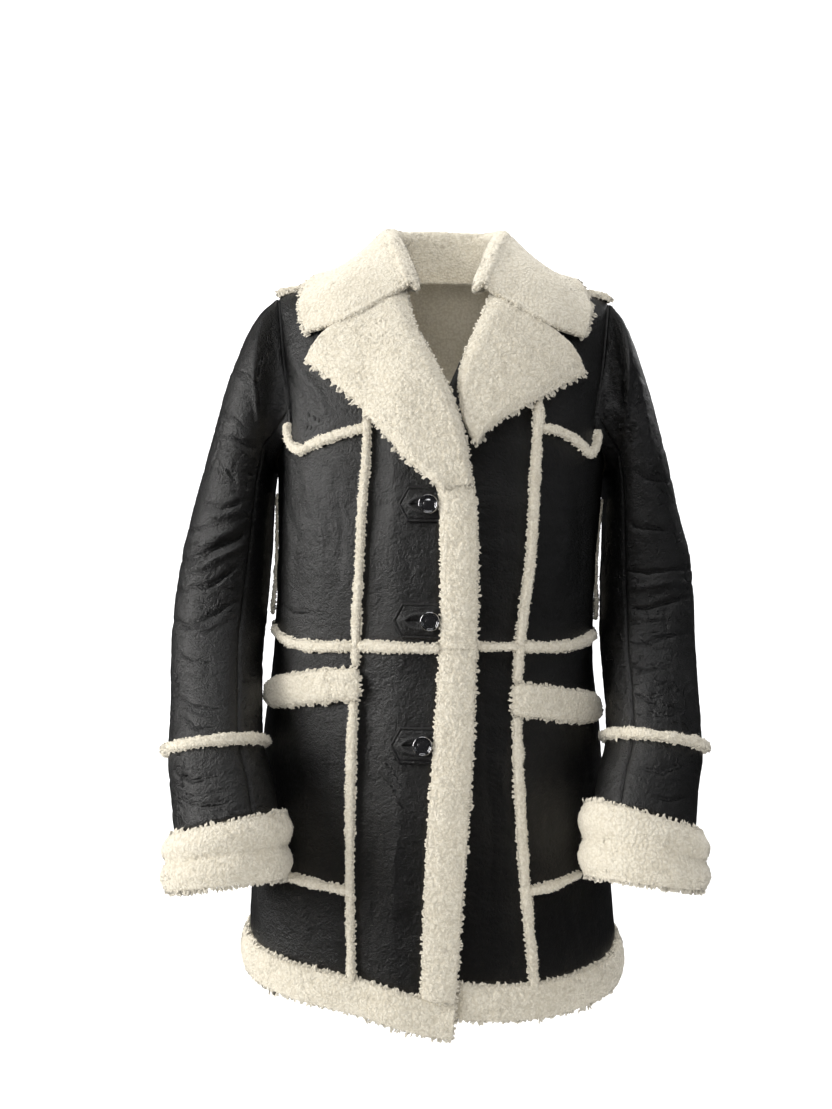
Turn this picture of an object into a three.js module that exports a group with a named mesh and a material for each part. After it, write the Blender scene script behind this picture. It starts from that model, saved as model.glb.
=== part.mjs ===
import * as THREE from 'three';

// Shearling coat in millimetres: +Z up, the front faces -Y, the wearer's left is +X.
// The origin is the centre of the neck opening at the height of the neck end of the shoulders.
// Every panel is a stretch of one body surface, given by an outward angle from the centre front
// and a height. The seams are tables of outward distances from the centre at given heights.

// Cloth, seams and strips
const WALL = 8;
const SEAM = 0.3;
const REST = 0.8;
const STRIP_WIDTH = 12;
const STRIP_HEIGHT = 7;

// Body
const UNDERARM = -235;
const WAIST = -424;
const ROUNDNESS = 2.35;
const SHOULDER_SPREAD = 0.038;
const SHOULDER_DROP = 37;
const SHOULDER_X = 193;
const SHOULDER_FALL = 1.6;
const BACK_FULLNESS = 0.6;
const QUARTER = Math.PI / 2;
const DEGREE = Math.PI / 180;

// Half widths to the wearer's right and left, and depths in front of and behind the side seams
const BODY = [
  { z: -797, right: 211, left: 209, front: 152, back: 136 },
  { z: -670, right: 206, left: 199, front: 148, back: 132 },
  { z: -540, right: 198, left: 187, front: 143, back: 128 },
  { z: -424, right: 187, left: 175, front: 136, back: 120 },
  { z: -330, right: 185, left: 177, front: 138, back: 114 },
  { z: -235, right: 186, left: 184, front: 134, back: 112 },
];

// Armhole edge: angle in degrees at a part of the way from the underarm to the shoulder
const ARMHOLE = [
  { part: 0, angle: 90 },
  { part: 0.07, angle: 74 },
  { part: 0.15, angle: 66 },
  { part: 0.41, angle: 72 },
  { part: 0.75, angle: 78 },
  { part: 1, angle: 82 },
];

// Princess seams
const PRINCESS = [
  { z: -797, right: 84, left: 103 },
  { z: -759, right: 86, left: 100 },
  { z: -642, right: 90, left: 88 },
  { z: -519, right: 90, left: 80 },
  { z: -416, right: 88, left: 82 },
  { z: -333, right: 85.5, left: 90.6 },
  { z: -271, right: 83.4, left: 93.8 },
  { z: -175, right: 80, left: 97.6 },
  { z: -20, right: 95, left: 105 },
];

// Front edges: a negative distance crosses over to the other half
const FRONT_EDGE = [
  { z: -818, right: -17, left: -40 },
  { z: -779, right: -19.6, left: -38 },
  { z: -678, right: -25, left: -34 },
  { z: -578, right: -30.7, left: -30 },
  { z: -476, right: -34.3, left: -26 },
  { z: -415, right: -35.4, left: -24 },
  { z: -292, right: -33.3, left: -22 },
  { z: -240, right: -26.5, left: -19 },
  { z: -198, right: -18, left: -11 },
  { z: -161, right: -5, left: 0 },
  { z: -127, right: 13, left: 13.5 },
  { z: -87, right: 33, left: 31 },
  { z: -52, right: 42, left: 47 },
  { z: -8, right: 80, left: 80 },
];

// Inner edge of the front band of the right front
const BAND_EDGE = [
  { z: -818, right: 15 },
  { z: -640, right: 12 },
  { z: -519, right: 6 },
  { z: -400, right: 1 },
  { z: -272, right: 5 },
  { z: -240, right: 14 },
  { z: -198, right: 27 },
  { z: -161, right: 42 },
  { z: -127, right: 55 },
  { z: -87, right: 66 },
  { z: -52, right: 72 },
  { z: -8, right: 88 },
];

// Yoke seam: height coordinate from the princess seam (0) to the armhole (1)
const YOKE = [
  { part: 0, right: -210, left: -210 },
  { part: 0.32, right: -213, left: -211 },
  { part: 0.62, right: -219, left: -214 },
  { part: 0.76, right: -223, left: -221 },
  { part: 0.9, right: -217, left: -217 },
  { part: 1, right: -207, left: -209 },
];

// Hem: lowest edge by outward angle in degrees
const HEM = [
  { angle: -16, right: -820, left: -800 },
  { angle: -6, right: -818, left: -800 },
  { angle: 32, right: -799, left: -804 },
  { angle: 62, right: -792, left: -797 },
  { angle: 90, right: -786, left: -788 },
  { angle: 180, right: -798, left: -798 },
];
const HEM_BAND = 36;
const HEM_LEVEL = -800;
const ABOVE_HEM = -770;

// Side seam between the middle and the lower side panels
const LOWER_SEAM = [
  { part: 0, right: -675, left: -673 },
  { part: 0.6, right: -670, left: -662 },
  { part: 1, right: -662, left: -652 },
];

// How far the right front lies over the left one
const LAP = 9;
const LAP_START = 85;
const LAP_FULL = 35;
const LAP_TOP = -60;
const LAP_BELOW = -150;

// Raised wool of the front band and the hem bands
const BAND_RAISE = 8;
const BAND_TOP = -272;
const BAND_FULL = -292;

// Lapels: roll line and outer edge, each as outward distance and height
const LAPEL_THICK = 13;
const LAPEL = {
  right: [
    { row: 0, rollX: 42, rollZ: -53, outX: 147, outZ: -122 },
    { row: 1, rollX: 31, rollZ: -92, outX: 118, outZ: -146 },
    { row: 2, rollX: 11, rollZ: -131, outX: 90, outZ: -172 },
    { row: 3, rollX: -8, rollZ: -170, outX: 56, outZ: -208 },
    { row: 4, rollX: -21, rollZ: -212, outX: 30, outZ: -238 },
    { row: 5, rollX: -28, rollZ: -256, outX: 3, outZ: -261 },
  ],
  left: [
    { row: 0, rollX: 46, rollZ: -54, outX: 148, outZ: -131 },
    { row: 1, rollX: 33, rollZ: -86, outX: 118, outZ: -150 },
    { row: 2, rollX: 18, rollZ: -122, outX: 88, outZ: -169 },
    { row: 3, rollX: 13, rollZ: -150, outX: 58, outZ: -187 },
    { row: 4, rollX: 17, rollZ: -182, outX: 40, outZ: -203 },
    { row: 5, rollX: 28, rollZ: -210, outX: 33, outZ: -214 },
  ],
};

// Sleeves: outer and inner point of each section, its middle, half depth and forward tilt
const SLEEVE = {
  right: [
    { outX: 210, outZ: -57, inX: 189.5, inZ: -242, y: 0, depth: 75, tilt: 0 },
    { outX: 228, outZ: -92, inX: 190.5, inZ: -252, y: -1, depth: 76, tilt: 0 },
    { outX: 247, outZ: -146, inX: 191, inZ: -270, y: -3, depth: 76, tilt: 0 },
    { outX: 263, outZ: -208, inX: 191.5, inZ: -298, y: -6, depth: 75, tilt: 0 },
    { outX: 278, outZ: -268, inX: 192.5, inZ: -334, y: -9, depth: 73, tilt: 1 },
    { outX: 291, outZ: -326, inX: 194, inZ: -370, y: -13, depth: 71, tilt: 3 },
    { outX: 298, outZ: -380, inX: 196, inZ: -404, y: -19, depth: 69, tilt: 5 },
    { outX: 296.5, outZ: -433, inX: 197, inZ: -436, y: -38, depth: 68, tilt: 8 },
    { outX: 291, outZ: -488, inX: 193, inZ: -482, y: -67, depth: 65, tilt: 11 },
    { outX: 286, outZ: -542, inX: 187, inZ: -529, y: -100, depth: 62, tilt: 13 },
    { outX: 277, outZ: -585, inX: 174, inZ: -565, y: -121, depth: 59, tilt: 14 },
    { outX: 271, outZ: -621, inX: 166, inZ: -595, y: -138, depth: 58, tilt: 14 },
  ],
  left: [
    { outX: 203, outZ: -57, inX: 187.5, inZ: -242, y: 0, depth: 75, tilt: 0 },
    { outX: 218, outZ: -92, inX: 188, inZ: -252, y: -1, depth: 76, tilt: 0 },
    { outX: 236, outZ: -146, inX: 187.5, inZ: -270, y: -3, depth: 76, tilt: 0 },
    { outX: 252, outZ: -208, inX: 186, inZ: -298, y: -6, depth: 75, tilt: 0 },
    { outX: 267, outZ: -268, inX: 184, inZ: -334, y: -9, depth: 73, tilt: 1 },
    { outX: 281, outZ: -326, inX: 182.5, inZ: -370, y: -12, depth: 71, tilt: 3 },
    { outX: 285, outZ: -380, inX: 183, inZ: -404, y: -19, depth: 69, tilt: 5 },
    { outX: 283.5, outZ: -433, inX: 182, inZ: -434, y: -35, depth: 68, tilt: 8 },
    { outX: 281, outZ: -480, inX: 182, inZ: -471, y: -65, depth: 65, tilt: 11 },
    { outX: 280, outZ: -530, inX: 180, inZ: -518, y: -94, depth: 62, tilt: 13 },
    { outX: 270, outZ: -573, inX: 169, inZ: -550, y: -119, depth: 59, tilt: 15 },
    { outX: 264, outZ: -609, inX: 161, inZ: -578, y: -138, depth: 58, tilt: 15 },
  ],
};
const SLEEVE_RING = 10;
const SLEEVE_END = 12;
const FRONT_SEAM = 127;
const BACK_SEAM = -130;

// Cuffs: first and last section
const CUFF = {
  right: [
    { outX: 272, outZ: -623.5, inX: 161, inZ: -597, y: -139, depth: 55, tilt: 14 },
    { outX: 271, outZ: -674, inX: 160, inZ: -660, y: -152, depth: 55, tilt: 12 },
  ],
  left: [
    { outX: 267, outZ: -611.6, inX: 156, inZ: -580.2, y: -139, depth: 55, tilt: 15 },
    { outX: 266, outZ: -664, inX: 155, inZ: -652, y: -152, depth: 55, tilt: 12 },
  ],
};
const CUFF_RAISE = [
  { part: 0, outer: 3 },
  { part: 0.25, outer: 9 },
  { part: 0.5, outer: 6 },
  { part: 0.75, outer: 9 },
  { part: 1, outer: 4 },
];
const CUFF_INNER = -7;

// Collar: neck seam, top of the roll, middle and edge of the fall
const COLLAR_THICK = 11;
const COLLAR_ROLL = 9;
const COLLAR_ROLL_DROP = 7;
const COLLAR_EDGE_OVER = 3;
const COLLAR_MIDDLE_OVER = 8;
const COLLAR_BACK_ROW = 3;
const COLLAR_STEPS = 22;
const COLLAR = [
  { base: [44, -75, -38], roll: [40, -93, -38], middle: [100, -84], edge: [146, -92] },
  { base: [56, -46, -14], roll: [57, -48, 12], middle: [112, -38], edge: [154, -58] },
  { base: [71, 2, -3], roll: [66, 4, 40], middle: [108, -6], edge: [143, -24] },
  { base: [52, 41, -8], roll: [50, 52, 50], middle: [90, 0.86], edge: [120, 0.78] },
  { base: [0, 57, -10], roll: [0, 68, 54], middle: [0, 0.66], edge: [0, 0.54] },
];

// Buttons and their patches: heights on the centre of the band edge
const BUTTON_Z = [-277, -396, -524];
const BUTTON_RADIUS = 10.4;
const BUTTON_THICK = 4;
const BUTTON_SEAT = 0.6;
const BUTTON_BESIDE = 1.4;
const PATCH_TIP = [46, 50, 50];
const PATCH_POINT = 10;
const PATCH_HALF = 18.5;
const PATCH_THICK = 2;
const PATCH_BESIDE = 0.004;

const SIDES = { right: -1, left: 1 };

const leather = new THREE.MeshStandardMaterial({ color: 0x0d0d0e, roughness: 0.5, metalness: 0 });
const wool = new THREE.MeshStandardMaterial({ color: 0xe6e0d0, roughness: 0.95, metalness: 0 });
const chrome = new THREE.MeshStandardMaterial({ color: 0xb9bbbd, roughness: 0.25, metalness: 1 });

const coat = new THREE.Group();
coat.name = 'shearling_coat';

const mix = (from, to, part) => from + (to - from) * part;
const clamp = (value, low, high) => Math.min(Math.max(value, low), high);

function smooth(from, to, value) {
  const part = clamp((value - from) / (to - from), 0, 1);
  return part * part * (3 - 2 * part);
}

// Smooth value of one column of a table, without overshoot between its rows
function column(rows, key, name) {
  const at = rows.map((row) => row[key]);
  const value = rows.map((row) => row[name]);
  const last = rows.length - 1;
  const secant = (i) => (value[i + 1] - value[i]) / (at[i + 1] - at[i]);
  const slope = at.map((_, i) => {
    const before = secant(Math.max(i - 1, 0));
    const after = secant(Math.min(i, last - 1));
    return before * after > 0 ? (2 * before * after) / (before + after) : 0;
  });
  return (place) => {
    const x = clamp(place, at[0], at[last]);
    let i = 0;
    while (i < last - 1 && x > at[i + 1]) i += 1;
    const span = at[i + 1] - at[i];
    const t = (x - at[i]) / span;
    const rest = 1 - t;
    const start = (1 + 2 * t) * rest * rest * value[i] + t * rest * rest * span * slope[i];
    const end = t * t * (3 - 2 * t) * value[i + 1] - t * t * rest * span * slope[i + 1];
    return start + end;
  };
}

// Smooth point between the points of a list, at a place counted in points
function along(points, place) {
  const last = points.length - 1;
  const i = clamp(Math.floor(place), 0, last - 1);
  const t = place - i;
  const p1 = points[i];
  const p2 = points[i + 1];
  const p0 = i > 0 ? points[i - 1] : p1.clone().multiplyScalar(2).sub(p2);
  const p3 = i + 2 <= last ? points[i + 2] : p2.clone().multiplyScalar(2).sub(p1);
  const result = p1.clone().multiplyScalar(2);
  result.addScaledVector(p2.clone().sub(p0), t);
  const second = p0.clone().multiplyScalar(2).addScaledVector(p1, -5).addScaledVector(p2, 4).sub(p3);
  result.addScaledVector(second, t * t);
  const third = p1.clone().multiplyScalar(3).sub(p0).addScaledVector(p2, -3).add(p3);
  result.addScaledVector(third, t * t * t);
  return result.multiplyScalar(0.5);
}

// Body surface
const halfOf = { right: column(BODY, 'z', 'right'), left: column(BODY, 'z', 'left') };
const frontDepth = column(BODY, 'z', 'front');
const backDepth = column(BODY, 'z', 'back');
const shoulderTop = (x) => -SHOULDER_DROP * (Math.abs(x) / SHOULDER_X) ** SHOULDER_FALL;
const riseOf = (height) => clamp((height - UNDERARM) / -UNDERARM, 0, 1) * QUARTER;

function bodyPoint(angle, height) {
  const z = Math.min(height, UNDERARM);
  const sine = Math.sin(angle);
  const cosine = Math.cos(angle);
  const half = (sine > 0 ? halfOf.left : halfOf.right)(z);
  const depth = (cosine > 0 ? frontDepth : backDepth)(z);
  const reach = (Math.abs(sine) / half) ** ROUNDNESS + (Math.abs(cosine) / depth) ** ROUNDNESS;
  const radius = reach ** (-1 / ROUNDNESS);
  const rise = riseOf(height);
  const x = radius * sine * (1 + SHOULDER_SPREAD * Math.sin(rise));
  const away = radius * Math.abs(cosine);
  const lift = height > UNDERARM ? (shoulderTop(x) - UNDERARM) * Math.sin(rise) : 0;
  const squeeze = Math.max(Math.cos(rise), 0) ** (cosine > 0 ? 1 : BACK_FULLNESS);
  const y = Math.max(away * squeeze, height > UNDERARM ? SEAM / 2 : 0);
  return new THREE.Vector3(x, cosine > 0 ? -y : y, z + lift);
}

function heightAt(x, z) {
  if (z <= UNDERARM) return z;
  const sine = clamp((z - UNDERARM) / (shoulderTop(x) - UNDERARM), 0, 1);
  return UNDERARM * (1 - Math.asin(sine) / QUARTER);
}

function angleAt(side, outward, height) {
  const ring = Math.min(height, UNDERARM);
  const x = outward / (1 + SHOULDER_SPREAD * Math.sin(riseOf(height)));
  const half = (outward * SIDES[side] > 0 ? halfOf.left : halfOf.right)(ring);
  const part = clamp(Math.abs(x) / half, 0, 1);
  return Math.atan2(x, frontDepth(ring) * (1 - part ** ROUNDNESS) ** (1 / ROUNDNESS));
}

// A surface is a function of two places, with its outward normal
class Surface {
  constructor(at, { uStep, vStep, vTop = Infinity, facing = 1 }) {
    Object.assign(this, { at, uStep, vStep, vTop, facing });
  }

  slopes(u, v) {
    const level = Math.min(v, this.vTop);
    const across = this.at(u + this.uStep, level).sub(this.at(u - this.uStep, level));
    const up = this.at(u, level + this.vStep).sub(this.at(u, level - this.vStep));
    across.divideScalar(2 * this.uStep);
    up.divideScalar(2 * this.vStep);
    return { across, up };
  }

  normal(u, v) {
    const { across, up } = this.slopes(u, v);
    return across.cross(up).multiplyScalar(this.facing).normalize();
  }

  point(u, v, offset = 0) {
    return this.at(u, v).addScaledVector(this.normal(u, v), offset);
  }
}

const BODY_STEPS = { uStep: 0.004, vStep: 0.5, vTop: -1.5 };
const wholeBody = new Surface(bodyPoint, BODY_STEPS);

function lapLift(x, z) {
  return LAP * smooth(-LAP_START, -LAP_FULL, x) * smooth(LAP_TOP, LAP_BELOW, z);
}

function liftedPoint(outward, height) {
  const point = bodyPoint(-outward, height);
  const lift = lapLift(point.x, point.z);
  return lift > 0 ? point.addScaledVector(wholeBody.normal(-outward, height), lift) : point;
}

const rightFront = new Surface(liftedPoint, { ...BODY_STEPS, facing: -1 });
const front = { right: rightFront, left: wholeBody };

// A seam as an outward angle by height
function seam(side, rows) {
  const turned = rows.map((row) => {
    const height = heightAt(row[side], row.z);
    return { height, angle: angleAt(side, row[side], height) };
  });
  return column(turned, 'height', 'angle');
}

const princess = { right: seam('right', PRINCESS), left: seam('left', PRINCESS) };
const frontEdge = { right: seam('right', FRONT_EDGE), left: seam('left', FRONT_EDGE) };
const bandEdge = seam('right', BAND_EDGE);
const armholeRows = ARMHOLE.map(({ part, angle }) => {
  return { height: UNDERARM * (1 - part), angle: angle * DEGREE };
});
const armhole = column(armholeRows, 'height', 'angle');
const hem = { right: column(HEM, 'angle', 'right'), left: column(HEM, 'angle', 'left') };
const hemAt = (side, angle) => hem[side](angle / DEGREE);

// A closed solid between two layers of points, with its edges closed all round
function shell(outer, inner, closed = false) {
  const rows = outer.length;
  const cols = outer[0].length;
  const count = rows * cols;
  const points = [...outer.flat(), ...inner.flat()];
  const spans = closed ? cols : cols - 1;
  const faces = [];
  const quad = (a, b, c, d) => faces.push(a, b, c, a, c, d);
  for (let i = 0; i < rows; i += 1) {
    for (let j = 0; j < spans; j += 1) {
      const a = i * cols + j;
      const b = i * cols + ((j + 1) % cols);
      if (i < rows - 1) {
        quad(a, b, b + cols, a + cols);
        quad(a + count, a + cols + count, b + cols + count, b + count);
      }
      if (i === 0) quad(a, a + count, b + count, b);
      if (i === rows - 1) quad(a, b, b + count, a + count);
    }
  }
  if (!closed) {
    for (let i = 0; i < rows - 1; i += 1) {
      const a = i * cols;
      const b = i * cols + cols - 1;
      quad(a, a + cols, a + cols + count, a + count);
      quad(b, b + count, b + cols + count, b + cols);
    }
  }
  let volume = 0;
  for (let k = 0; k < faces.length; k += 3) {
    const [a, b, c] = [points[faces[k]], points[faces[k + 1]], points[faces[k + 2]]];
    volume += a.dot(b.clone().cross(c));
  }
  if (volume < 0) faces.reverse();
  const geometry = new THREE.BufferGeometry();
  const numbers = points.flatMap((point) => point.toArray());
  geometry.setAttribute('position', new THREE.Float32BufferAttribute(numbers, 3));
  geometry.setIndex(faces);
  geometry.computeVertexNormals();
  return geometry;
}

function add(name, geometry, material) {
  const mesh = new THREE.Mesh(geometry, material);
  mesh.name = name;
  coat.add(mesh);
}

const evenly = (count) => Array.from({ length: count + 1 }, (_, i) => i / count);

// A wall between two seams and two heights, a seam's half gap inside them
function panel(surface, { from, to, low, high, rows, cols, outer = () => 0 }) {
  const heights = Array.isArray(rows) ? rows : evenly(rows);
  const layer = (offset) => heights.map((v) => evenly(cols).map((u) => {
    const bottom = low(u) + SEAM / 2;
    const height = mix(bottom, high(u) - SEAM / 2, v);
    const start = from(height);
    const end = to(height);
    const width = surface.slopes(mix(start, end, u), height).across.length();
    const inset = SEAM / 2 / width * Math.sign(end - start);
    const angle = mix(start + inset, end - inset, u);
    const place = surface.at(angle, height);
    const point = surface.point(angle, height, offset({ u, v, x: place.x, z: place.z }));
    point.y = place.y < 0 ? Math.min(point.y, -SEAM / 2) : Math.max(point.y, SEAM / 2);
    return point;
  }));
  return shell(layer(outer), layer(() => -WALL));
}

// A raised strip along a path of places on a surface
const STRIP_PROFILE = [
  { across: -1, height: 0.35 },
  { across: -0.5, height: 1 },
  { across: 0.5, height: 1 },
  { across: 1, height: 0.35 },
];

function strip(surface, path, options) {
  const { steps, closed = false, width = () => STRIP_WIDTH, height = () => STRIP_HEIGHT } = options;
  const places = evenly(steps).slice(0, closed ? -1 : undefined);
  const outer = [];
  const inner = [];
  for (const part of places) {
    const delta = 0.5 / steps;
    const here = path(part);
    const before = path(closed ? part - delta : Math.max(part - delta, 0));
    const after = path(closed ? part + delta : Math.min(part + delta, 1));
    const { across, up } = surface.slopes(here.u, here.v);
    const run = across.clone().multiplyScalar(after.u - before.u).addScaledVector(up, after.v - before.v);
    const side = surface.normal(here.u, here.v).cross(run.normalize());
    const uPer = side.dot(across) / across.lengthSq();
    const vPer = side.dot(up) / up.lengthSq();
    const place = (row) => {
      const reach = row.across * width(part) / 2;
      return [here.u + uPer * reach, here.v + vPer * reach];
    };
    outer.push(STRIP_PROFILE.map((row) => surface.point(...place(row), REST + height(part) * row.height)));
    inner.push(STRIP_PROFILE.map((row) => surface.point(...place(row), REST)));
  }
  const turn = (grid) => grid[0].map((_, j) => grid.map((row) => row[j]));
  return closed ? shell(turn(outer), turn(inner), true) : shell(outer, inner);
}

// A path through places given as outward distance and height on one front
function route(side, rows) {
  const points = rows.map(([outward, z]) => {
    const height = heightAt(outward, z);
    return new THREE.Vector3(angleAt(side, outward, height), height, 0);
  });
  return (part) => {
    const point = along(points, part * (points.length - 1));
    return { u: point.x, v: point.y };
  };
}

// Fronts: the waist seam rises towards the side seams
const WAIST_RISE = 12;
const WAIST_TABLE = [
  { part: 0, right: WAIST, left: WAIST },
  { part: 0.7, right: WAIST - 2, left: WAIST + 1 },
  { part: 1, right: WAIST + WAIST_RISE, left: WAIST + WAIST_RISE },
];
const YOKE_HEIGHT = -210;
const LEVELS = [
  WAIST, -380, -330, -300, -280, -260, -240, -225, YOKE_HEIGHT,
  -190, -170, -150, -130, -108, -84, -58, -30, 0,
];

// Parts of the way between two levels, so that neighbours meet at the same points
function levelsBetween(low, high) {
  const inside = LEVELS.filter((level) => level >= low && level <= high);
  return inside.map((level) => (level - low) / (high - low));
}

const always = (value) => () => value;

for (const side of ['right', 'left']) {
  const surface = front[side];
  const centre = side === 'right' ? bandEdge : frontEdge.left;
  const bandTop = (from, to) => (u) => {
    const angle = mix(from(ABOVE_HEM), to(ABOVE_HEM), u);
    return hemAt(side, angle) + HEM_BAND + SEAM;
  };
  const sideSeam = always(QUARTER);
  const yoke = column(YOKE, 'part', side);
  const waist = column(WAIST_TABLE, 'part', side);
  const lower = column(LOWER_SEAM, 'part', side);
  const name = (piece) => `front_${side}_${piece}`;

  add(name('centre_upper'), panel(surface, {
    from: centre,
    to: princess[side],
    low: always(waist(0)),
    high: always(0),
    rows: levelsBetween(WAIST, 0),
    cols: 5,
  }), leather);
  add(name('centre_lower'), panel(surface, {
    from: centre,
    to: princess[side],
    low: bandTop(centre, princess[side]),
    high: always(waist(0)),
    rows: 8,
    cols: 5,
  }), leather);
  add(name('yoke'), panel(surface, {
    from: princess[side],
    to: armhole,
    low: yoke,
    high: always(0),
    rows: levelsBetween(YOKE_HEIGHT, 0),
    cols: 7,
  }), leather);
  add(name('side_upper'), panel(surface, {
    from: princess[side],
    to: armhole,
    low: waist,
    high: yoke,
    rows: levelsBetween(WAIST, YOKE_HEIGHT),
    cols: 7,
  }), leather);
  add(name('side_middle'), panel(surface, {
    from: princess[side],
    to: sideSeam,
    low: lower,
    high: waist,
    rows: 6,
    cols: 7,
  }), leather);
  add(name('side_lower'), panel(surface, {
    from: princess[side],
    to: sideSeam,
    low: bandTop(princess[side], sideSeam),
    high: lower,
    rows: 3,
    cols: 7,
  }), leather);
}

// A band's thickness falls to this part at its edges
const BAND_EDGES = 0.42;
const roundOver = (u) => mix(BAND_EDGES, 1, Math.sin(Math.PI * u) ** 0.6);

// Front band: rounded wool that lies flat where the lapel folds over it
const bandRaise = ({ u, z }) => BAND_RAISE * smooth(BAND_TOP, BAND_FULL, z) * roundOver(u);
add('front_band_upper', panel(rightFront, {
  from: frontEdge.right,
  to: bandEdge,
  low: always(WAIST),
  high: always(0),
  rows: levelsBetween(WAIST, 0),
  cols: 4,
  outer: bandRaise,
}), wool);
add('front_band_lower', panel(rightFront, {
  from: frontEdge.right,
  to: bandEdge,
  low: (u) => hemAt('right', mix(frontEdge.right(HEM_LEVEL), bandEdge(HEM_LEVEL), u)) + HEM_BAND + SEAM,
  high: always(WAIST),
  rows: 10,
  cols: 4,
  outer: bandRaise,
}), wool);

// Back
const BACK_NECK_X = 80;
const BACK_NECK_DIP = 0.25;
const backSide = (height) => Math.PI - armhole(height);
const backOther = (height) => Math.PI + armhole(height);
const backWaist = (u) => WAIST + WAIST_RISE * (2 * u - 1) ** 2;

function backTop(u) {
  const angle = mix(backSide(0), backOther(0), u);
  const x = bodyPoint(angle, -1).x;
  return UNDERARM * BACK_NECK_DIP * Math.max(1 - (x / BACK_NECK_X) ** 2, 0);
}

const backLow = (u) => hemAt('left', QUARTER + (1 - Math.abs(2 * u - 1)) * QUARTER);
add('back_upper', panel(wholeBody, {
  from: backSide,
  to: backOther,
  low: backWaist,
  high: backTop,
  rows: [0, 0.12, 0.24, 0.34, 0.41, 0.45, 0.49, 0.54, 0.62, 0.72, 0.82, 0.9, 0.96, 1],
  cols: 16,
}), leather);
add('back_lower', panel(wholeBody, {
  from: always(QUARTER),
  to: always(3 * QUARTER),
  low: (u) => backLow(u) + HEM_BAND + SEAM,
  high: backWaist,
  rows: 6,
  cols: 16,
}), leather);

// Hem bands: the left one is flat where the right front covers it
const HEM_SHOWS = 20;
const HEM_FULL = 32;
for (const side of ['right', 'left']) {
  const low = (u) => hemAt(side, mix(frontEdge[side](HEM_LEVEL), QUARTER, u));
  const shown = side === 'left' ? (x) => smooth(HEM_SHOWS, HEM_FULL, x) : always(1);
  add(`hem_${side}`, panel(front[side], {
    from: frontEdge[side],
    to: always(QUARTER),
    low,
    high: (u) => low(u) + HEM_BAND,
    rows: 4,
    cols: 14,
    outer: ({ v, x }) => BAND_RAISE * roundOver(v) * shown(x),
  }), wool);
}
add('hem_back', panel(wholeBody, {
  from: always(QUARTER),
  to: always(3 * QUARTER),
  low: backLow,
  high: (u) => backLow(u) + HEM_BAND,
  rows: 4,
  cols: 16,
  outer: ({ v }) => BAND_RAISE * roundOver(v),
}), wool);

// Lapels: thick wool lying on the fronts, from the roll line to the outer edge
const LAPEL_PROFILE = [
  { part: 0, thick: 0.55 },
  { part: 0.14, thick: 1 },
  { part: 0.86, thick: 1 },
  { part: 1, thick: 0.6 },
];
const LAPEL_BASE = 1.2;
const LAPEL_ROWS = 14;
const LAPEL_LAST = 5;
const LAPEL_ENDS = 0.7;
const lapelProfile = column(LAPEL_PROFILE, 'part', 'thick');
for (const side of ['right', 'left']) {
  const read = (name) => column(LAPEL[side], 'row', name);
  const [rollX, rollZ, outX, outZ] = ['rollX', 'rollZ', 'outX', 'outZ'].map(read);
  const across = [0, 0.12, 0.3, 0.5, 0.7, 0.88, 1];
  const layer = (thick) => evenly(LAPEL_ROWS).map((part) => across.map((u) => {
    const row = part * LAPEL_LAST;
    const outward = mix(rollX(row), outX(row), u);
    const z = mix(rollZ(row), outZ(row), u);
    const height = heightAt(outward, z);
    const rim = mix(LAPEL_ENDS, 1, smooth(0, 0.12, part) * smooth(1, 0.9, part));
    const offset = LAPEL_BASE + thick * lapelProfile(u) * rim;
    return front[side].point(angleAt(side, outward, height), height, offset);
  }));
  add(`lapel_${side}`, shell(layer(LAPEL_THICK), layer(0)), wool);
}

// Collar: a wall that stands up from the neck, rolls over and falls on the shoulders
function collarStations() {
  const half = COLLAR.map(({ base, roll, middle, edge }, index) => {
    const back = index >= COLLAR_BACK_ROW;
    const onBody = ([x, place], offset) => {
      if (!back) {
        const height = Math.min(heightAt(x, place), BODY_STEPS.vTop);
        return wholeBody.point(angleAt('left', x, height), height, offset);
      }
      const height = UNDERARM * (1 - place);
      return wholeBody.point(Math.PI - angleAt('left', x, height), height, offset);
    };
    const top = new THREE.Vector3(...roll);
    const start = new THREE.Vector3(...base);
    const end = onBody(edge, COLLAR_THICK / 2 + COLLAR_EDGE_OVER);
    const outward = end.clone().sub(start).setZ(0).normalize();
    const rollIn = top.clone().addScaledVector(outward, -COLLAR_ROLL).setZ(top.z - COLLAR_ROLL_DROP);
    const rollOut = top.clone().addScaledVector(outward, COLLAR_ROLL).setZ(top.z - COLLAR_ROLL_DROP);
    return [start, rollIn, top, rollOut, onBody(middle, COLLAR_THICK / 2 + COLLAR_MIDDLE_OVER), end];
  });
  const mirrored = half.slice(0, -1).map((row) => row.map((p) => new THREE.Vector3(-p.x, p.y, p.z)));
  return [...mirrored, ...half.reverse()];
}

const stations = collarStations();

function collarPoint(u, v) {
  const section = stations[0].map((_, k) => along(stations.map((row) => row[k]), u));
  return along(section, v);
}

const collarSurface = new Surface(collarPoint, { uStep: 0.01, vStep: 0.01 });
const collarLayer = (offset) => evenly(COLLAR_STEPS).map((u) => evenly(10).map((v) => {
  return collarSurface.point(u * (stations.length - 1), v * (stations[0].length - 1), offset);
}));
add('collar', shell(collarLayer(COLLAR_THICK / 2), collarLayer(-COLLAR_THICK / 2)), wool);

// Sleeves: the first section is the armhole edge, the others are ovals
const SLEEVE_ROUND = 2.2;
const SLEEVE_SEAM = 1.4;
const FIRST_NORMAL = 0.05;

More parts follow.
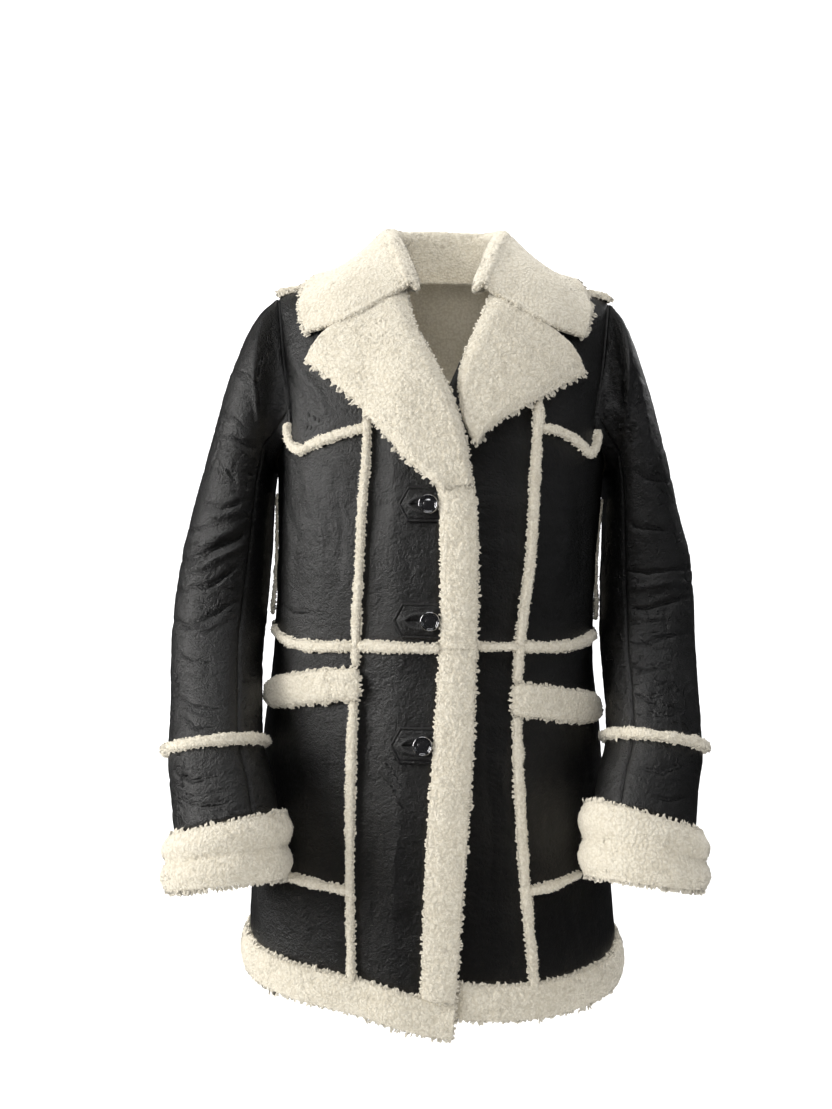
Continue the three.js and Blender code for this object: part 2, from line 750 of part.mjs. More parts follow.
function oval({ outX, outZ, inX, inZ, y, depth, tilt }, theta, sign) {
  const power = 2 / SLEEVE_ROUND;
  const wide = Math.sign(Math.cos(theta)) * Math.abs(Math.cos(theta)) ** power;
  const deep = Math.sign(Math.sin(theta)) * Math.abs(Math.sin(theta)) ** power;
  const x = (outX + inX) / 2 + (outX - inX) / 2 * wide;
  const z = (outZ + inZ) / 2 + (outZ - inZ) / 2 * wide;
  const lean = tilt * DEGREE;
  return new THREE.Vector3(sign * x, y - depth * deep * Math.cos(lean), z + depth * deep * Math.sin(lean));
}

function armholePoint(theta, side) {
  const height = UNDERARM * (1 - Math.cos(theta)) / 2;
  const forward = Math.sin(theta) > 0;
  const angle = forward ? armhole(height) : Math.PI - armhole(height);
  const point = bodyPoint(SIDES[side] * angle, height);
  point.x += SIDES[side] * SLEEVE_SEAM;
  return point;
}

function sleeveSurface(side) {
  const sign = SIDES[side];
  const at = (theta, place) => {
    const points = [armholePoint(theta, side), ...SLEEVE[side].map((row) => oval(row, theta, sign))];
    return along(points, place);
  };
  return new Surface(at, { uStep: 0.01, vStep: 0.01, facing: sign });
}

function sleevePart(side, surface, fromTheta, toTheta, places, cols) {
  const middle = new THREE.Vector3(0, 0, (UNDERARM - SHOULDER_DROP) / 2);
  const layer = (offset) => places.map((place) => evenly(cols).map((u) => {
    const start = fromTheta * DEGREE;
    const end = toTheta * DEGREE;
    const width = surface.slopes(mix(start, end, u), place).across.length();
    const inset = SEAM / 2 / width;
    const theta = mix(start + inset, end - inset, u);
    const point = surface.at(theta, place);
    const direction = surface.normal(theta, Math.max(place, FIRST_NORMAL));
    const radial = point.clone().sub(middle).setX(0).normalize();
    const nearArmhole = 1 - smooth(0, 1, place);
    direction.lerp(radial, nearArmhole).normalize();
    return point.addScaledVector(direction, offset);
  }));
  return shell(layer(0), layer(-WALL));
}

const SLEEVE_GAP = 0.004;
const UPPER_PLACES = [0, 0.5, 1, 1.6, 2.3, 3.2, 4.1, 5, 6, 7, 8, 9, SLEEVE_RING - SLEEVE_GAP];
const LOWER_PLACES = [SLEEVE_RING + SLEEVE_GAP, 10.6, 11.3, SLEEVE_END];
for (const side of ['right', 'left']) {
  const surface = sleeveSurface(side);
  const parts = [
    ['top', BACK_SEAM, FRONT_SEAM, 14],
    ['under', FRONT_SEAM, 360 + BACK_SEAM, 6],
  ];
  for (const [piece, start, end, cols] of parts) {
    add(`sleeve_${side}_${piece}_upper`, sleevePart(side, surface, start, end, UPPER_PLACES, cols), leather);
    add(`sleeve_${side}_${piece}_lower`, sleevePart(side, surface, start, end, LOWER_PLACES, cols), leather);
  }
  const ring = (part) => ({ u: part * 4 * QUARTER, v: SLEEVE_RING });
  add(`sleeve_trim_${side}`, strip(surface, ring, { steps: 20, closed: true }), wool);

  // Cuff with two soft rounds and a groove between them
  const [first, last] = CUFF[side].map((row) => (theta) => oval(row, theta, SIDES[side]));
  const cuff = new Surface((theta, place) => first(theta).lerp(last(theta), place), {
    uStep: 0.01, vStep: 0.01, facing: SIDES[side],
  });
  const raise = column(CUFF_RAISE, 'part', 'outer');
  const cuffLayer = (offset) => [0, 0.1, 0.25, 0.4, 0.5, 0.6, 0.75, 0.9, 1].map((place) => {
    return evenly(18).slice(0, -1).map((u) => cuff.point(u * 4 * QUARTER, place, offset(place)));
  });
  add(`cuff_${side}`, shell(cuffLayer(raise), cuffLayer(() => CUFF_INNER), true), wool);
}

// Wool strips over the seams
const PRINCESS_LOW = -757;
const PRINCESS_X = 80;
const HEM_CLEAR = 5;
const PRINCESS_HIGH = { right: -190, left: -178 };
const PRINCESS_WIDTH = { right: 10, left: 12 };
const FLAP_TOP = { right: -439, left: -453 };
const FLAP_BOTTOM = { right: -489, left: -502 };
const YOKE_PATH = {
  right: [[87, -198], [112, -204], [138, -213], [151, -218], [163, -212], [168, -198], [168, -188]],
  left: [[105, -193], [125, -197], [143, -206], [155, -215], [163, -210], [165, -199], [165, -190]],
};
const WAIST_PATH = {
  right: [[95, -425], [139, -427], [168, -422], [182, -412]],
  left: [[89, -422], [124, -423], [150, -420], [168, -413]],
};
const WAIST_CENTRE_PATH = {
  right: [[8, -424], [40, -424], [81, -424]],
  left: [[37, -422], [56, -422], [75, -422]],
};
const LOWER_PATH = {
  right: [[97, -675], [130, -672], [162, -669]],
  left: [[99, -673], [125, -669], [150, -662]],
};
const FLAP_PATH = {
  right: [[83, -464], [115, -467], [150, -474], [180, -482]],
  left: [[74, -477], [105, -480], [135, -486], [160, -490]],
};
const FLAP_WIDTH = 39;
const FLAP_HEIGHT = 8;
const FLAP_NARROWS = 0.25;
const WAIST_CENTRE_WIDTH = { right: 12, left: 9 };
const YOKE_WIDTH = 11;
const THIN_WIDTH = 10;
const SIDE_LOW = -398;
const SIDE_HIGH = -262;
const SIDE_ANGLE = QUARTER * 0.97;
const SIDE_HEIGHT = { low: 6, high: 2.5 };
const BACK_WAIST_FROM = 93;
const BACK_WAIST_TO = 267;
const SHOULDER_FROM = 151;
const SHOULDER_TO = 190;
const SHOULDER_WIDTH = 13;
const SHOULDER_HEIGHT = 9;

for (const side of ['right', 'left']) {
  const surface = front[side];
  const spans = [
    ['lower', hemAt(side, princess[side](PRINCESS_LOW)) + HEM_BAND + HEM_CLEAR, FLAP_BOTTOM[side], 12],
    ['upper', FLAP_TOP[side], heightAt(PRINCESS_X, PRINCESS_HIGH[side]), 15],
  ];
  for (const [piece, low, high, steps] of spans) {
    add(`princess_trim_${side}_${piece}`, strip(surface, (part) => {
      const height = mix(low, high, part);
      return { u: princess[side](height), v: height };
    }, { steps, width: () => PRINCESS_WIDTH[side] }), wool);
  }
  add(`yoke_trim_${side}`, strip(surface, route(side, YOKE_PATH[side]), {
    steps: 14, width: () => YOKE_WIDTH,
  }), wool);
  add(`waist_trim_${side}`, strip(surface, route(side, WAIST_PATH[side]), { steps: 8 }), wool);
  add(`waist_trim_${side}_centre`, strip(surface, route(side, WAIST_CENTRE_PATH[side]), {
    steps: side === 'right' ? 8 : 4, width: () => WAIST_CENTRE_WIDTH[side],
  }), wool);
  add(`lower_trim_${side}`, strip(surface, route(side, LOWER_PATH[side]), {
    steps: 6, width: () => THIN_WIDTH,
  }), wool);
  add(`pocket_flap_${side}`, strip(surface, route(side, FLAP_PATH[side]), {
    steps: 9,
    width: (part) => FLAP_WIDTH * (1 - FLAP_NARROWS * smooth(0.85, 1, part)),
    height: () => FLAP_HEIGHT,
  }), wool);
  add(`side_trim_${side}`, strip(surface, (part) => {
    return { u: SIDE_ANGLE, v: mix(SIDE_LOW, SIDE_HIGH, part) };
  }, {
    steps: 7,
    width: () => THIN_WIDTH,
    height: (part) => mix(SIDE_HEIGHT.low, SIDE_HEIGHT.high, smooth(0, 0.5, part)),
  }), wool);

  const sign = SIDES[side];
  const ridge = new Surface((x, y) => new THREE.Vector3(sign * x, y, shoulderTop(x)), {
    uStep: 1, vStep: 1, facing: sign,
  });
  add(`shoulder_trim_${side}`, strip(ridge, (part) => ({ u: mix(SHOULDER_FROM, SHOULDER_TO, part), v: 0 }), {
    steps: 4, width: () => SHOULDER_WIDTH, height: () => SHOULDER_HEIGHT,
  }), wool);
}
add('waist_trim_back', strip(wholeBody, (part) => {
  return { u: mix(BACK_WAIST_FROM, BACK_WAIST_TO, part) * DEGREE, v: backWaist(part) };
}, { steps: 24 }), wool);

// Outline of half a button from the middle of its foot to the middle of its dished face
const BUTTON_PROFILE = [[0, 0], [1, 0], [1, 0.6], [0.9, 1], [0.78, 0.9], [0.68, 0.4], [0, 0.4]];

// Buttonhole patches: a six-sided piece of leather whose far end lies at the band
for (const [index, z] of BUTTON_Z.entries()) {
  const rows = [-1, -0.5, 0, 0.5, 1];
  const layer = (offset) => rows.map((place) => evenly(4).map((u) => {
    const height = z + place * PATCH_HALF;
    const tip = PATCH_TIP[index] - PATCH_POINT * Math.abs(place);
    const start = bandEdge(height) + PATCH_BESIDE;
    const angle = mix(start, angleAt('right', tip, height), u);
    return rightFront.point(angle, height, offset);
  }));
  add(`buttonhole_patch_${index + 1}`, shell(layer(REST + PATCH_THICK), layer(REST)), leather);

  // Ring button with a dished face
  const profile = BUTTON_PROFILE.map(([radius, height]) => {
    return new THREE.Vector2(radius * BUTTON_RADIUS, height * BUTTON_THICK);
  });
  const geometry = new THREE.LatheGeometry(profile, 20);
  const angle = bandEdge(z) + (BUTTON_RADIUS + BUTTON_BESIDE) / (frontDepth(z) + LAP);
  const mesh = new THREE.Mesh(geometry, chrome);
  mesh.name = `button_${index + 1}`;
  mesh.position.copy(rightFront.point(angle, z, REST + PATCH_THICK + BUTTON_SEAT));
  mesh.quaternion.setFromUnitVectors(new THREE.Vector3(0, 1, 0), rightFront.normal(angle, z));
  coat.add(mesh);
}

export default coat;
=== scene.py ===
import math
from itertools import product

import bpy
import numpy as np
from mathutils import Matrix, Vector


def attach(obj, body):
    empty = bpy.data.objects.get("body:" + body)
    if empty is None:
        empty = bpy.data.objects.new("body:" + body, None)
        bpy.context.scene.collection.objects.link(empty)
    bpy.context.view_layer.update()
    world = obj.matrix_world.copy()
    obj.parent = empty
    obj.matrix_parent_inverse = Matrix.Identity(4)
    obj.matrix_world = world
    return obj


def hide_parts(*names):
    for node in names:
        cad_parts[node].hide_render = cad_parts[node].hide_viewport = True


# Shearling coat: +Z up, the front faces -Y, the wearer's left is +X.
# Sizes are in millimetres until a piece is made; pieces are in metres.
# The leather is a fine sheet on the form of each panel, with a wool lining inside it.
# The wool is a lumpy surface with many small tufts.

MM = 0.001
SEED = 11

# Cloth, seams and strips
WALL = 8
SEAM = 0.3
REST = 0.8
STRIP_WIDTH = 12
STRIP_HEIGHT = 7
STRIP_SHOWN = 0.86
STRIP_UNEVEN = 0.19
STRIP_REACH = 6
STRIP_DEEP = STRIP_HEIGHT * 0.35
STRIP_TUFTS = (3, 3, 3.8, 3.8)
LEATHER_THICK = 6.4
LEATHER_SUNK = 0.2
PUCKER = 0.35
SEAM_SUNK = 1.5
SEAM_REACH = 2.1
BACK_THICK = 3.6
LINING_OFFSET = -7.2
LEATHER_STEP = 3.1
SLEEVE_STEP = 2.15
BACK_STEP = 4.4
WOOL_STEP = 1.9
LINING_STEP = 6.5
LINING_RISE = 0.3
LINING_START = 0.25
LINING_SHORT = 0.03
LINING_CURL = 7
LINING_DEPTH = 1.2
LINING_RIM = -2

# Body
UNDERARM = -235
WAIST = -424
ROUNDNESS = 2.35
SHOULDER_SPREAD = 0.038
SHOULDER_DROP = 37
SHOULDER_X = 193
SHOULDER_FALL = 1.6
BACK_FULLNESS = 0.6
QUARTER = math.pi / 2
DEGREE = math.pi / 180

# Half widths to the wearer's right and left, depths in front of and behind the side seams
BODY = [
    (-797, 211, 209, 152, 136),
    (-670, 206, 199, 148, 132),
    (-540, 198, 187, 143, 128),
    (-424, 187, 175, 136, 120),
    (-330, 185, 177, 138, 114),
    (-235, 186, 184, 134, 112),
]

# Armhole edge: part of the way from the underarm to the shoulder, and its angle in degrees
ARMHOLE = [(0, 90), (0.07, 74), (0.15, 66), (0.41, 72), (0.75, 78), (1, 82)]

# Seams as outward distances from the centre: height, right, left
PRINCESS = [
    (-797, 84, 103),
    (-759, 86, 100),
    (-642, 90, 88),
    (-519, 90, 80),
    (-416, 88, 82),
    (-333, 85.5, 90.6),
    (-271, 83.4, 93.8),
    (-175, 80, 97.6),
    (-20, 95, 105),
]
FRONT_EDGE = [
    (-818, -17, -40),
    (-779, -19.6, -38),
    (-678, -25, -34),
    (-578, -30.7, -30),
    (-476, -34.3, -26),
    (-415, -35.4, -24),
    (-292, -33.3, -22),
    (-240, -26.5, -19),
    (-198, -18, -11),
    (-161, -5, 0),
    (-127, 13, 13.5),
    (-87, 33, 31),
    (-52, 42, 47),
    (-8, 80, 80),
]
BAND_EDGE = [
    (-818, 15),
    (-640, 12),
    (-519, 6),
    (-400, 1),
    (-272, 5),
    (-240, 14),
    (-198, 27),
    (-161, 42),
    (-127, 55),
    (-87, 66),
    (-52, 72),
    (-8, 88),
]

# Heights by part of the way across: yoke seam, waist seam, lower side seam
YOKE = [
    (0, -210, -210),
    (0.32, -213, -211),
    (0.62, -219, -214),
    (0.76, -223, -221),
    (0.9, -217, -217),
    (1, -207, -209),
]
WAIST_RISE = 12
WAIST_SEAM = [(0, WAIST, WAIST), (0.7, WAIST - 2, WAIST + 1), (1, WAIST + WAIST_RISE, WAIST + WAIST_RISE)]
LOWER_SEAM = [(0, -675, -673), (0.6, -670, -662), (1, -662, -652)]

# Hem: lowest edge by outward angle in degrees
HEM = [
    (-16, -820, -800),
    (-6, -818, -800),
    (32, -799, -804),
    (62, -792, -797),
    (90, -786, -788),
    (180, -798, -798),
]
HEM_BAND = 36
HEM_LEVEL = -800
ABOVE_HEM = -770
HEM_SHOWS = 20
HEM_FULL = 32
HEM_DEEP = WALL + 4
HEM_TUFTS = (7, 5.5, 4, 4)
HEM_BACK_STEP = 2.6
HEM_BACK_SPACING = 3.2

# How far the right front lies over the left one
LAP = 9
LAP_START = 85
LAP_FULL = 35
LAP_TOP = -60
LAP_BELOW = -150

# Raised wool of the front band and the hem bands
BAND_RAISE = 8
BAND_TOP = -225
BAND_FULL = -250
BAND_EDGES = 0.42
BAND_DEEP = WALL - 2
CURLY_EDGE = 1.5
CURLY_BESIDE = 0.5

# Lapels: row, roll line outward and height, outer edge outward and height
LAPEL_THICK = 13
LAPEL_BASE = 1.2
LAPEL_LAST = 5
LAPEL_ENDS = 0.85
LAPEL_UNDER = 12
LAPEL_GRID = (66, 100)
LAPEL_PROFILE = [(0, 0.55), (0.14, 1), (0.86, 1), (1, 0.6)]
LAPEL = {
    "right": [
        (0, 42, -53, 147, -122),
        (1, 31, -92, 118, -146),
        (2, 11, -131, 90, -172),
        (3, -8, -170, 56, -208),
        (4, -21, -212, 30, -238),
        (5, -28, -256, 3, -261),
    ],
    "left": [
        (0, 46, -54, 148, -131),
        (1, 33, -86, 118, -150),
        (2, 18, -122, 88, -169),
        (3, 13, -150, 58, -187),
        (4, 17, -182, 40, -203),
        (5, 28, -210, 33, -214),
    ],
}

# Sleeve sections: outer x and z, inner x and z, middle y, half depth and forward tilt
SLEEVE = {
    "right": [
        (210, -57, 189.5, -242, 0, 75, 0),
        (228, -92, 190.5, -252, -1, 76, 0),
        (247, -146, 191, -270, -3, 76, 0),
        (263, -208, 191.5, -298, -6, 75, 0),
        (278, -268, 192.5, -334, -9, 73, 1),
        (291, -326, 194, -370, -13, 71, 3),
        (298, -380, 196, -404, -19, 69, 5),
        (296.5, -433, 197, -436, -38, 68, 8),
        (291, -488, 193, -482, -67, 65, 11),
        (286, -542, 187, -529, -100, 62, 13),
        (277, -585, 174, -565, -121, 59, 14),
        (271, -621, 166, -595, -138, 58, 14),
    ],
    "left": [
        (203, -57, 187.5, -242, 0, 75, 0),
        (218, -92, 188, -252, -1, 76, 0),
        (236, -146, 187.5, -270, -3, 76, 0),
        (252, -208, 186, -298, -6, 75, 0),
        (267, -268, 184, -334, -9, 73, 1),
        (281, -326, 182.5, -370, -12, 71, 3),
        (285, -380, 183, -404, -19, 69, 5),
        (283.5, -433, 182, -434, -35, 68, 8),
        (281, -480, 182, -471, -65, 65, 11),
        (280, -530, 180, -518, -94, 62, 13),
        (270, -573, 169, -550, -119, 59, 15),
        (264, -609, 161, -578, -138, 58, 15),
    ],
}
SLEEVE_RING = 10
RING_LONG = 400
SLEEVE_END = 12
SLEEVE_GAP = 0.004
SLEEVE_ROUND = 2.2
SLEEVE_SEAM = 0.5
TAPE_HALF = 4
TAPE_DEEP = 2.6
FRONT_SEAM = 127
BACK_SEAM = -130
FIRST_NORMAL = 0.05

# Cuffs: first and last section, and how far the wool rises between them
CUFF = {
    "right": [(272, -623.5, 161, -597, -139, 55, 14), (271, -674, 160, -660, -152, 55, 12)],
    "left": [(267, -611.6, 156, -580.2, -139, 55, 15), (266, -664, 155, -652, -152, 55, 12)],
}
CUFF_RAISE = [(0, 3), (0.25, 9), (0.5, 6), (0.75, 9), (1, 4)]
CUFF_INNER = -7
CUFF_GRID = (170, 36)
CUFF_ROWS = (0, 6, 12)
CUFF_PUFF = [(0, 1), (0.24, 1.6), (0.42, 1.0), (0.5, -0.6), (0.58, 1.0), (0.76, 1.6), (1, 1)]

# Collar: neck seam, top of the roll, middle and edge of the fall
COLLAR_THICK = 11
COLLAR_ROLL = 9
COLLAR_ROLL_DROP = 7
COLLAR_ENDS = 0.55
ROLL_ROWS = (0.8, 3.2)
COLLAR_EDGE_OVER = 3
COLLAR_MIDDLE_OVER = 8
COLLAR_BACK_ROW = 3
COLLAR_GRID = (70, 190)
COLLAR_ROWS = (0, 4, 8)
COLLAR = [
    ((44, -75, -38), (40, -93, -38), (100, -84), (146, -92)),
    ((56, -46, -14), (57, -48, 12), (112, -38), (154, -58)),
    ((71, 2, -3), (66, 4, 40), (108, -6), (143, -24)),
    ((52, 41, -8), (50, 52, 50), (90, 0.86), (120, 0.78)),
    ((0, 57, -10), (0, 68, 54), (0, 0.66), (0, 0.54)),
]

# Buttons, with their outline as parts of radius and thickness, and patches
BUTTON_Z = (-277, -396, -524)
BUTTON_RADIUS = 10.4
BUTTON_THICK = 4
BUTTON_SEAT = 0.6
BUTTON_BESIDE = 1.4
BUTTON_OUTLINE = [
    (0.0, 0.0),
    (0.96, 0.0),
    (1.0, 0.25),
    (1.0, 0.6),
    (0.96, 0.86),
    (0.90, 1.0),
    (0.84, 0.98),
    (0.79, 0.82),
    (0.74, 0.5),
    (0.66, 0.36),
    (0.55, 0.42),
    (0.40, 0.66),
    (0.22, 0.84),
    (0.0, 0.9),
]
PATCH_TIP = (46, 50, 50)
PATCH_POINT = 10
PATCH_HALF = 18.5
PATCH_THICK = 2
PATCH_BESIDE = 0.004

# Buttonholes, as parts of the patch's length and half height, and their stitches
HOLE_MIDDLE = 0.45
HOLE_HALF = (0.30, 0.42)
STITCHES_FROM = 0.18
STITCH_LIFT = REST + PATCH_THICK + 0.8
STITCH_LONG = 3.2
STITCH_RADIUS = 0.55

# Strips, as outward distances and heights
PRINCESS_LOW = -757
PRINCESS_X = 80
HEM_CLEAR = 5
UNDER_LAPEL = 9
PRINCESS_HIGH = {"right": -190, "left": -178}
PRINCESS_WIDTH = {"right": 10, "left": 12}
FLAP_TOP = {"right": -439, "left": -453}
FLAP_BOTTOM = {"right": -489, "left": -502}
YOKE_PATH = {
    "right": [(87, -198), (112, -204), (138, -213), (151, -218), (163, -212), (168, -198), (168, -188)],
    "left": [(105, -193), (125, -197), (143, -206), (155, -215), (163, -210), (165, -199), (165, -190)],
}
WAIST_PATH = {
    "right": [(95, -425), (139, -427), (168, -422), (182, -412)],
    "left": [(89, -422), (124, -423), (150, -420), (168, -413)],
}
WAIST_CENTRE_PATH = {
    "right": [(8, -424), (40, -424), (81, -424)],
    "left": [(37, -422), (56, -422), (75, -422)],
}
LOWER_PATH = {
    "right": [(97, -675), (130, -672), (162, -669)],
    "left": [(99, -673), (125, -669), (150, -662)],
}
FLAP_PATH = {
    "right": [(83, -464), (115, -467), (150, -474), (180, -482)],
    "left": [(74, -477), (105, -480), (135, -486), (160, -490)],
}
FLAP_WIDTH = 39
FLAP_HEIGHT = 8
FLAP_DEEP = FLAP_HEIGHT * 0.35
FLAP_NARROWS = 0.25
FLAP_REACH = {"right": 9, "left": 17}
FLAP_SWELL = 2.5
FLAP_UNEVEN = 0.05
WAIST_CENTRE_WIDTH = {"right": 12, "left": 9}
YOKE_WIDTH = 11
THIN_WIDTH = 10
SIDE_LOW = -398
SIDE_HIGH = -262
SIDE_ANGLE = QUARTER * 0.97
SIDE_HEIGHT = (6, 2.5)
SIDE_DEEP = 1.5
BACK_WAIST_FROM = 93
BACK_WAIST_TO = 267
BACK_WAIST_LONG = 560
BACK_WAIST_STEP = 2.4
LONG_TRIM = (3.2, 4.4)
SHOULDER_FROM = 151
SHOULDER_TO = 190
SHOULDER_WIDTH = 13
SHOULDER_HEIGHT = 9
SHOULDER_DEEP = SHOULDER_HEIGHT * 0.35
BACK_NECK_X = 80
BACK_NECK_DIP = 0.25

# The camera's place, its roll, and the picture's focal length and centre in its own units
EYE = (-27.6, -1350, -328)
ROLL = 0.0171
FOCAL = 1174
PICTURE_HIGH = 1109
CENTRE = (416, 555)
SENSOR = 36

SIDES = {"right": -1, "left": 1}


# Numbers

def mix(start, end, part):
    return start + (end - start) * part


def smooth(start, end, value):
    part = np.clip((value - start) / (end - start), 0, 1)
    return part * part * (3 - 2 * part)


def unit(vectors):
    return vectors / np.maximum(np.linalg.norm(vectors, axis=-1, keepdims=True), 1e-9)


def column(rows, number):
    """Smooth value of one column of a table, without overshoot between its rows."""
    at = np.array([row[0] for row in rows], float)
    value = np.array([row[number] for row in rows], float)
    secant = np.diff(value) / np.diff(at)
    before = np.concatenate([secant[:1], secant])
    after = np.concatenate([secant, secant[-1:]])
    total = np.where(before * after > 0, before + after, 1)
    slope = np.where(before * after > 0, 2 * before * after / total, 0)

    def read(place):
        x = np.clip(place, at[0], at[-1])
        i = np.clip(np.searchsorted(at, x, side="left") - 1, 0, len(at) - 2)
        span = at[i + 1] - at[i]
        t = (x - at[i]) / span
        rest = 1 - t
        start = (1 + 2 * t) * rest * rest * value[i] + t * rest * rest * span * slope[i]
        end = t * t * (3 - 2 * t) * value[i + 1] - t * t * rest * span * slope[i + 1]
        return start + end

    return read


def weights(count, place):
    """How much each of count points weighs in a smooth line through them, at each place."""
    place = np.asarray(place, float)
    flat = place.ravel()
    i = np.clip(np.floor(flat).astype(int), 0, count - 2)
    t = flat - i
    four = [
        (-t + 2 * t * t - t ** 3) / 2,
        (2 - 5 * t * t + 3 * t ** 3) / 2,
        (t + 4 * t * t - 3 * t ** 3) / 2,
        (-t * t + t ** 3) / 2,
    ]
    result = np.zeros((len(flat), count))
    row = np.arange(len(flat))
    for step, part in zip((-1, 0, 1, 2), four):
        at = i + step
        before, after = at < 0, at > count - 1
        inside = ~(before | after)
        np.add.at(result, (row[inside], at[inside]), part[inside])
        for outside, near, far in ((before, 0, 1), (after, count - 1, count - 2)):
            np.add.at(result, (row[outside], np.full(outside.sum(), near)), 2 * part[outside])
            np.add.at(result, (row[outside], np.full(outside.sum(), far)), -part[outside])
    return result.reshape(*place.shape, count)


def lattice(cells, seed):
    """A repeatable number from 0 to 1 for each cell."""
    number = np.zeros(cells.shape[:-1], np.uint32)
    for axis, factor in enumerate((374761393, 668265263, 2246822519)):
        number += cells[..., axis].astype(np.uint32) * np.uint32(factor)
    number += np.uint32(seed * 3266489917 % 2 ** 32)
    for shift, factor in ((15, 2246822519), (13, 3266489917)):
        number ^= number >> np.uint32(shift)
        number *= np.uint32(factor)
    number ^= number >> np.uint32(16)
    return number / 2 ** 32


def noise(points, size, seed=0):
    """Smooth unevenness from -1 to 1 with the given size in millimetres."""
    place = points / size
    cell = np.floor(place).astype(np.int64)
    part = place - cell
    part = part * part * (3 - 2 * part)
    total = 0
    for corner in product((0, 1), repeat=3):
        share = np.prod(np.where(corner, part, 1 - part), axis=-1)
        total = total + share * lattice(cell + corner, seed)
    return 2 * total - 1


def lumps(points, size, seed=0):
    """Round lumps from 0 to 1, packed at random about size apart."""
    place = points / size
    cell = np.floor(place).astype(np.int64)
    nearest = np.full(place.shape[:-1], 4.0)
    for step in product((-1, 0, 1), repeat=3):
        other = cell + step
        spot = np.stack([lattice(other, seed + axis) for axis in range(3)], axis=-1)
        nearest = np.minimum(nearest, ((other + spot - place) ** 2).sum(axis=-1))
    return np.sqrt(np.maximum(1 - nearest, 0))


# Body surface

HALF = {"right": column(BODY, 1), "left": column(BODY, 2)}
front_depth = column(BODY, 3)
back_depth = column(BODY, 4)


def shoulder_top(x):
    return -SHOULDER_DROP * (np.abs(x) / SHOULDER_X) ** SHOULDER_FALL


def rise_of(height):
    return np.clip((height - UNDERARM) / -UNDERARM, 0, 1) * QUARTER


def body_point(angle, height):
    angle, height = np.broadcast_arrays(np.asarray(angle, float), np.asarray(height, float))
    z = np.minimum(height, UNDERARM)
    sine, cosine = np.sin(angle), np.cos(angle)
    half = np.where(sine > 0, HALF["left"](z), HALF["right"](z))
    depth = np.where(cosine > 0, front_depth(z), back_depth(z))
    reach = (np.abs(sine) / half) ** ROUNDNESS + (np.abs(cosine) / depth) ** ROUNDNESS
    radius = reach ** (-1 / ROUNDNESS)
    rise = rise_of(height)
    x = radius * sine * (1 + SHOULDER_SPREAD * np.sin(rise))
    lift = np.where(height > UNDERARM, (shoulder_top(x) - UNDERARM) * np.sin(rise), 0)
    squeeze = np.maximum(np.cos(rise), 0) ** np.where(cosine > 0, 1, BACK_FULLNESS)
    least = np.where(height > UNDERARM, SEAM / 2, 0)
    y = np.maximum(radius * np.abs(cosine) * squeeze, least)
    return np.stack([x, np.where(cosine > 0, -y, y), z + lift], axis=-1)


def height_at(x, z):
    sine = np.clip((z - UNDERARM) / (shoulder_top(x) - UNDERARM), 0, 1)
    return np.where(np.asarray(z) <= UNDERARM, z, UNDERARM * (1 - np.arcsin(sine) / QUARTER))


def angle_at(side, outward, height):
    ring = np.minimum(height, UNDERARM)
    x = outward / (1 + SHOULDER_SPREAD * np.sin(rise_of(height)))
    half = np.where(np.asarray(outward) * SIDES[side] > 0, HALF["left"](ring), HALF["right"](ring))
    part = np.clip(np.abs(x) / half, 0, 1)
    return np.arctan2(x, front_depth(ring) * (1 - part ** ROUNDNESS) ** (1 / ROUNDNESS))


class Surface:
    """A surface is a function of two places, with its outward normal."""

    def __init__(self, at, u_step, v_step, v_top=np.inf, facing=1):
        self.at, self.u_step, self.v_step = at, u_step, v_step
        self.v_top, self.facing = v_top, facing

    def slopes(self, u, v):
        level = np.minimum(v, self.v_top)
        across = self.at(u + self.u_step, level) - self.at(u - self.u_step, level)
        up = self.at(u, level + self.v_step) - self.at(u, level - self.v_step)
        return across / (2 * self.u_step), up / (2 * self.v_step)

    def normal(self, u, v):
        across, up = self.slopes(u, v)
        return unit(np.cross(across, up) * self.facing)

    def point(self, u, v, offset=0):
        return self.at(u, v) + self.normal(u, v) * np.asarray(offset, float)[..., None]


BODY_STEPS = {"u_step": 0.004, "v_step": 0.5, "v_top": -1.5}
whole_body = Surface(body_point, **BODY_STEPS)


def lifted_point(outward, height):
    point = body_point(-outward, height)
    lift = LAP * smooth(-LAP_START, -LAP_FULL, point[..., 0]) * smooth(LAP_TOP, LAP_BELOW, point[..., 2])
    return point + whole_body.normal(-outward, height) * lift[..., None]


right_front = Surface(lifted_point, facing=-1, **BODY_STEPS)
FRONT = {"right": right_front, "left": whole_body}


def seam(side, rows, number):
    """A seam as an outward angle by height."""
    turned = []
    for row in rows:
        height = float(height_at(row[number], row[0]))
        turned.append((height, float(angle_at(side, row[number], height))))
    return column(turned, 1)


princess = {"right": seam("right", PRINCESS, 1), "left": seam("left", PRINCESS, 2)}
front_edge = {"right": seam("right", FRONT_EDGE, 1), "left": seam("left", FRONT_EDGE, 2)}
band_edge = seam("right", BAND_EDGE, 1)
armhole = column([(UNDERARM * (1 - part), angle * DEGREE) for part, angle in ARMHOLE], 1)
HEM_OF = {"right": column(HEM, 1), "left": column(HEM, 2)}


def hem_at(side, angle):
    return HEM_OF[side](angle / DEGREE)


def always(value):
    return lambda place: np.full(np.shape(place), float(value))


def inside_armhole(height):
    return armhole(height) - LINING_SHORT


def back_side(height):
    return math.pi - armhole(height)


def back_other(height):
    return math.pi + armhole(height)


def back_waist(u):
    return WAIST + WAIST_RISE * (2 * u - 1) ** 2


def back_top(u):
    angle = mix(back_side(0.0), back_other(0.0), u)
    x = body_point(angle, np.full(np.shape(angle), -1.0))[..., 0]
    return UNDERARM * BACK_NECK_DIP * np.maximum(1 - (x / BACK_NECK_X) ** 2, 0)


def back_low(u):
    return hem_at("left", QUARTER + (1 - np.abs(2 * u - 1)) * QUARTER)


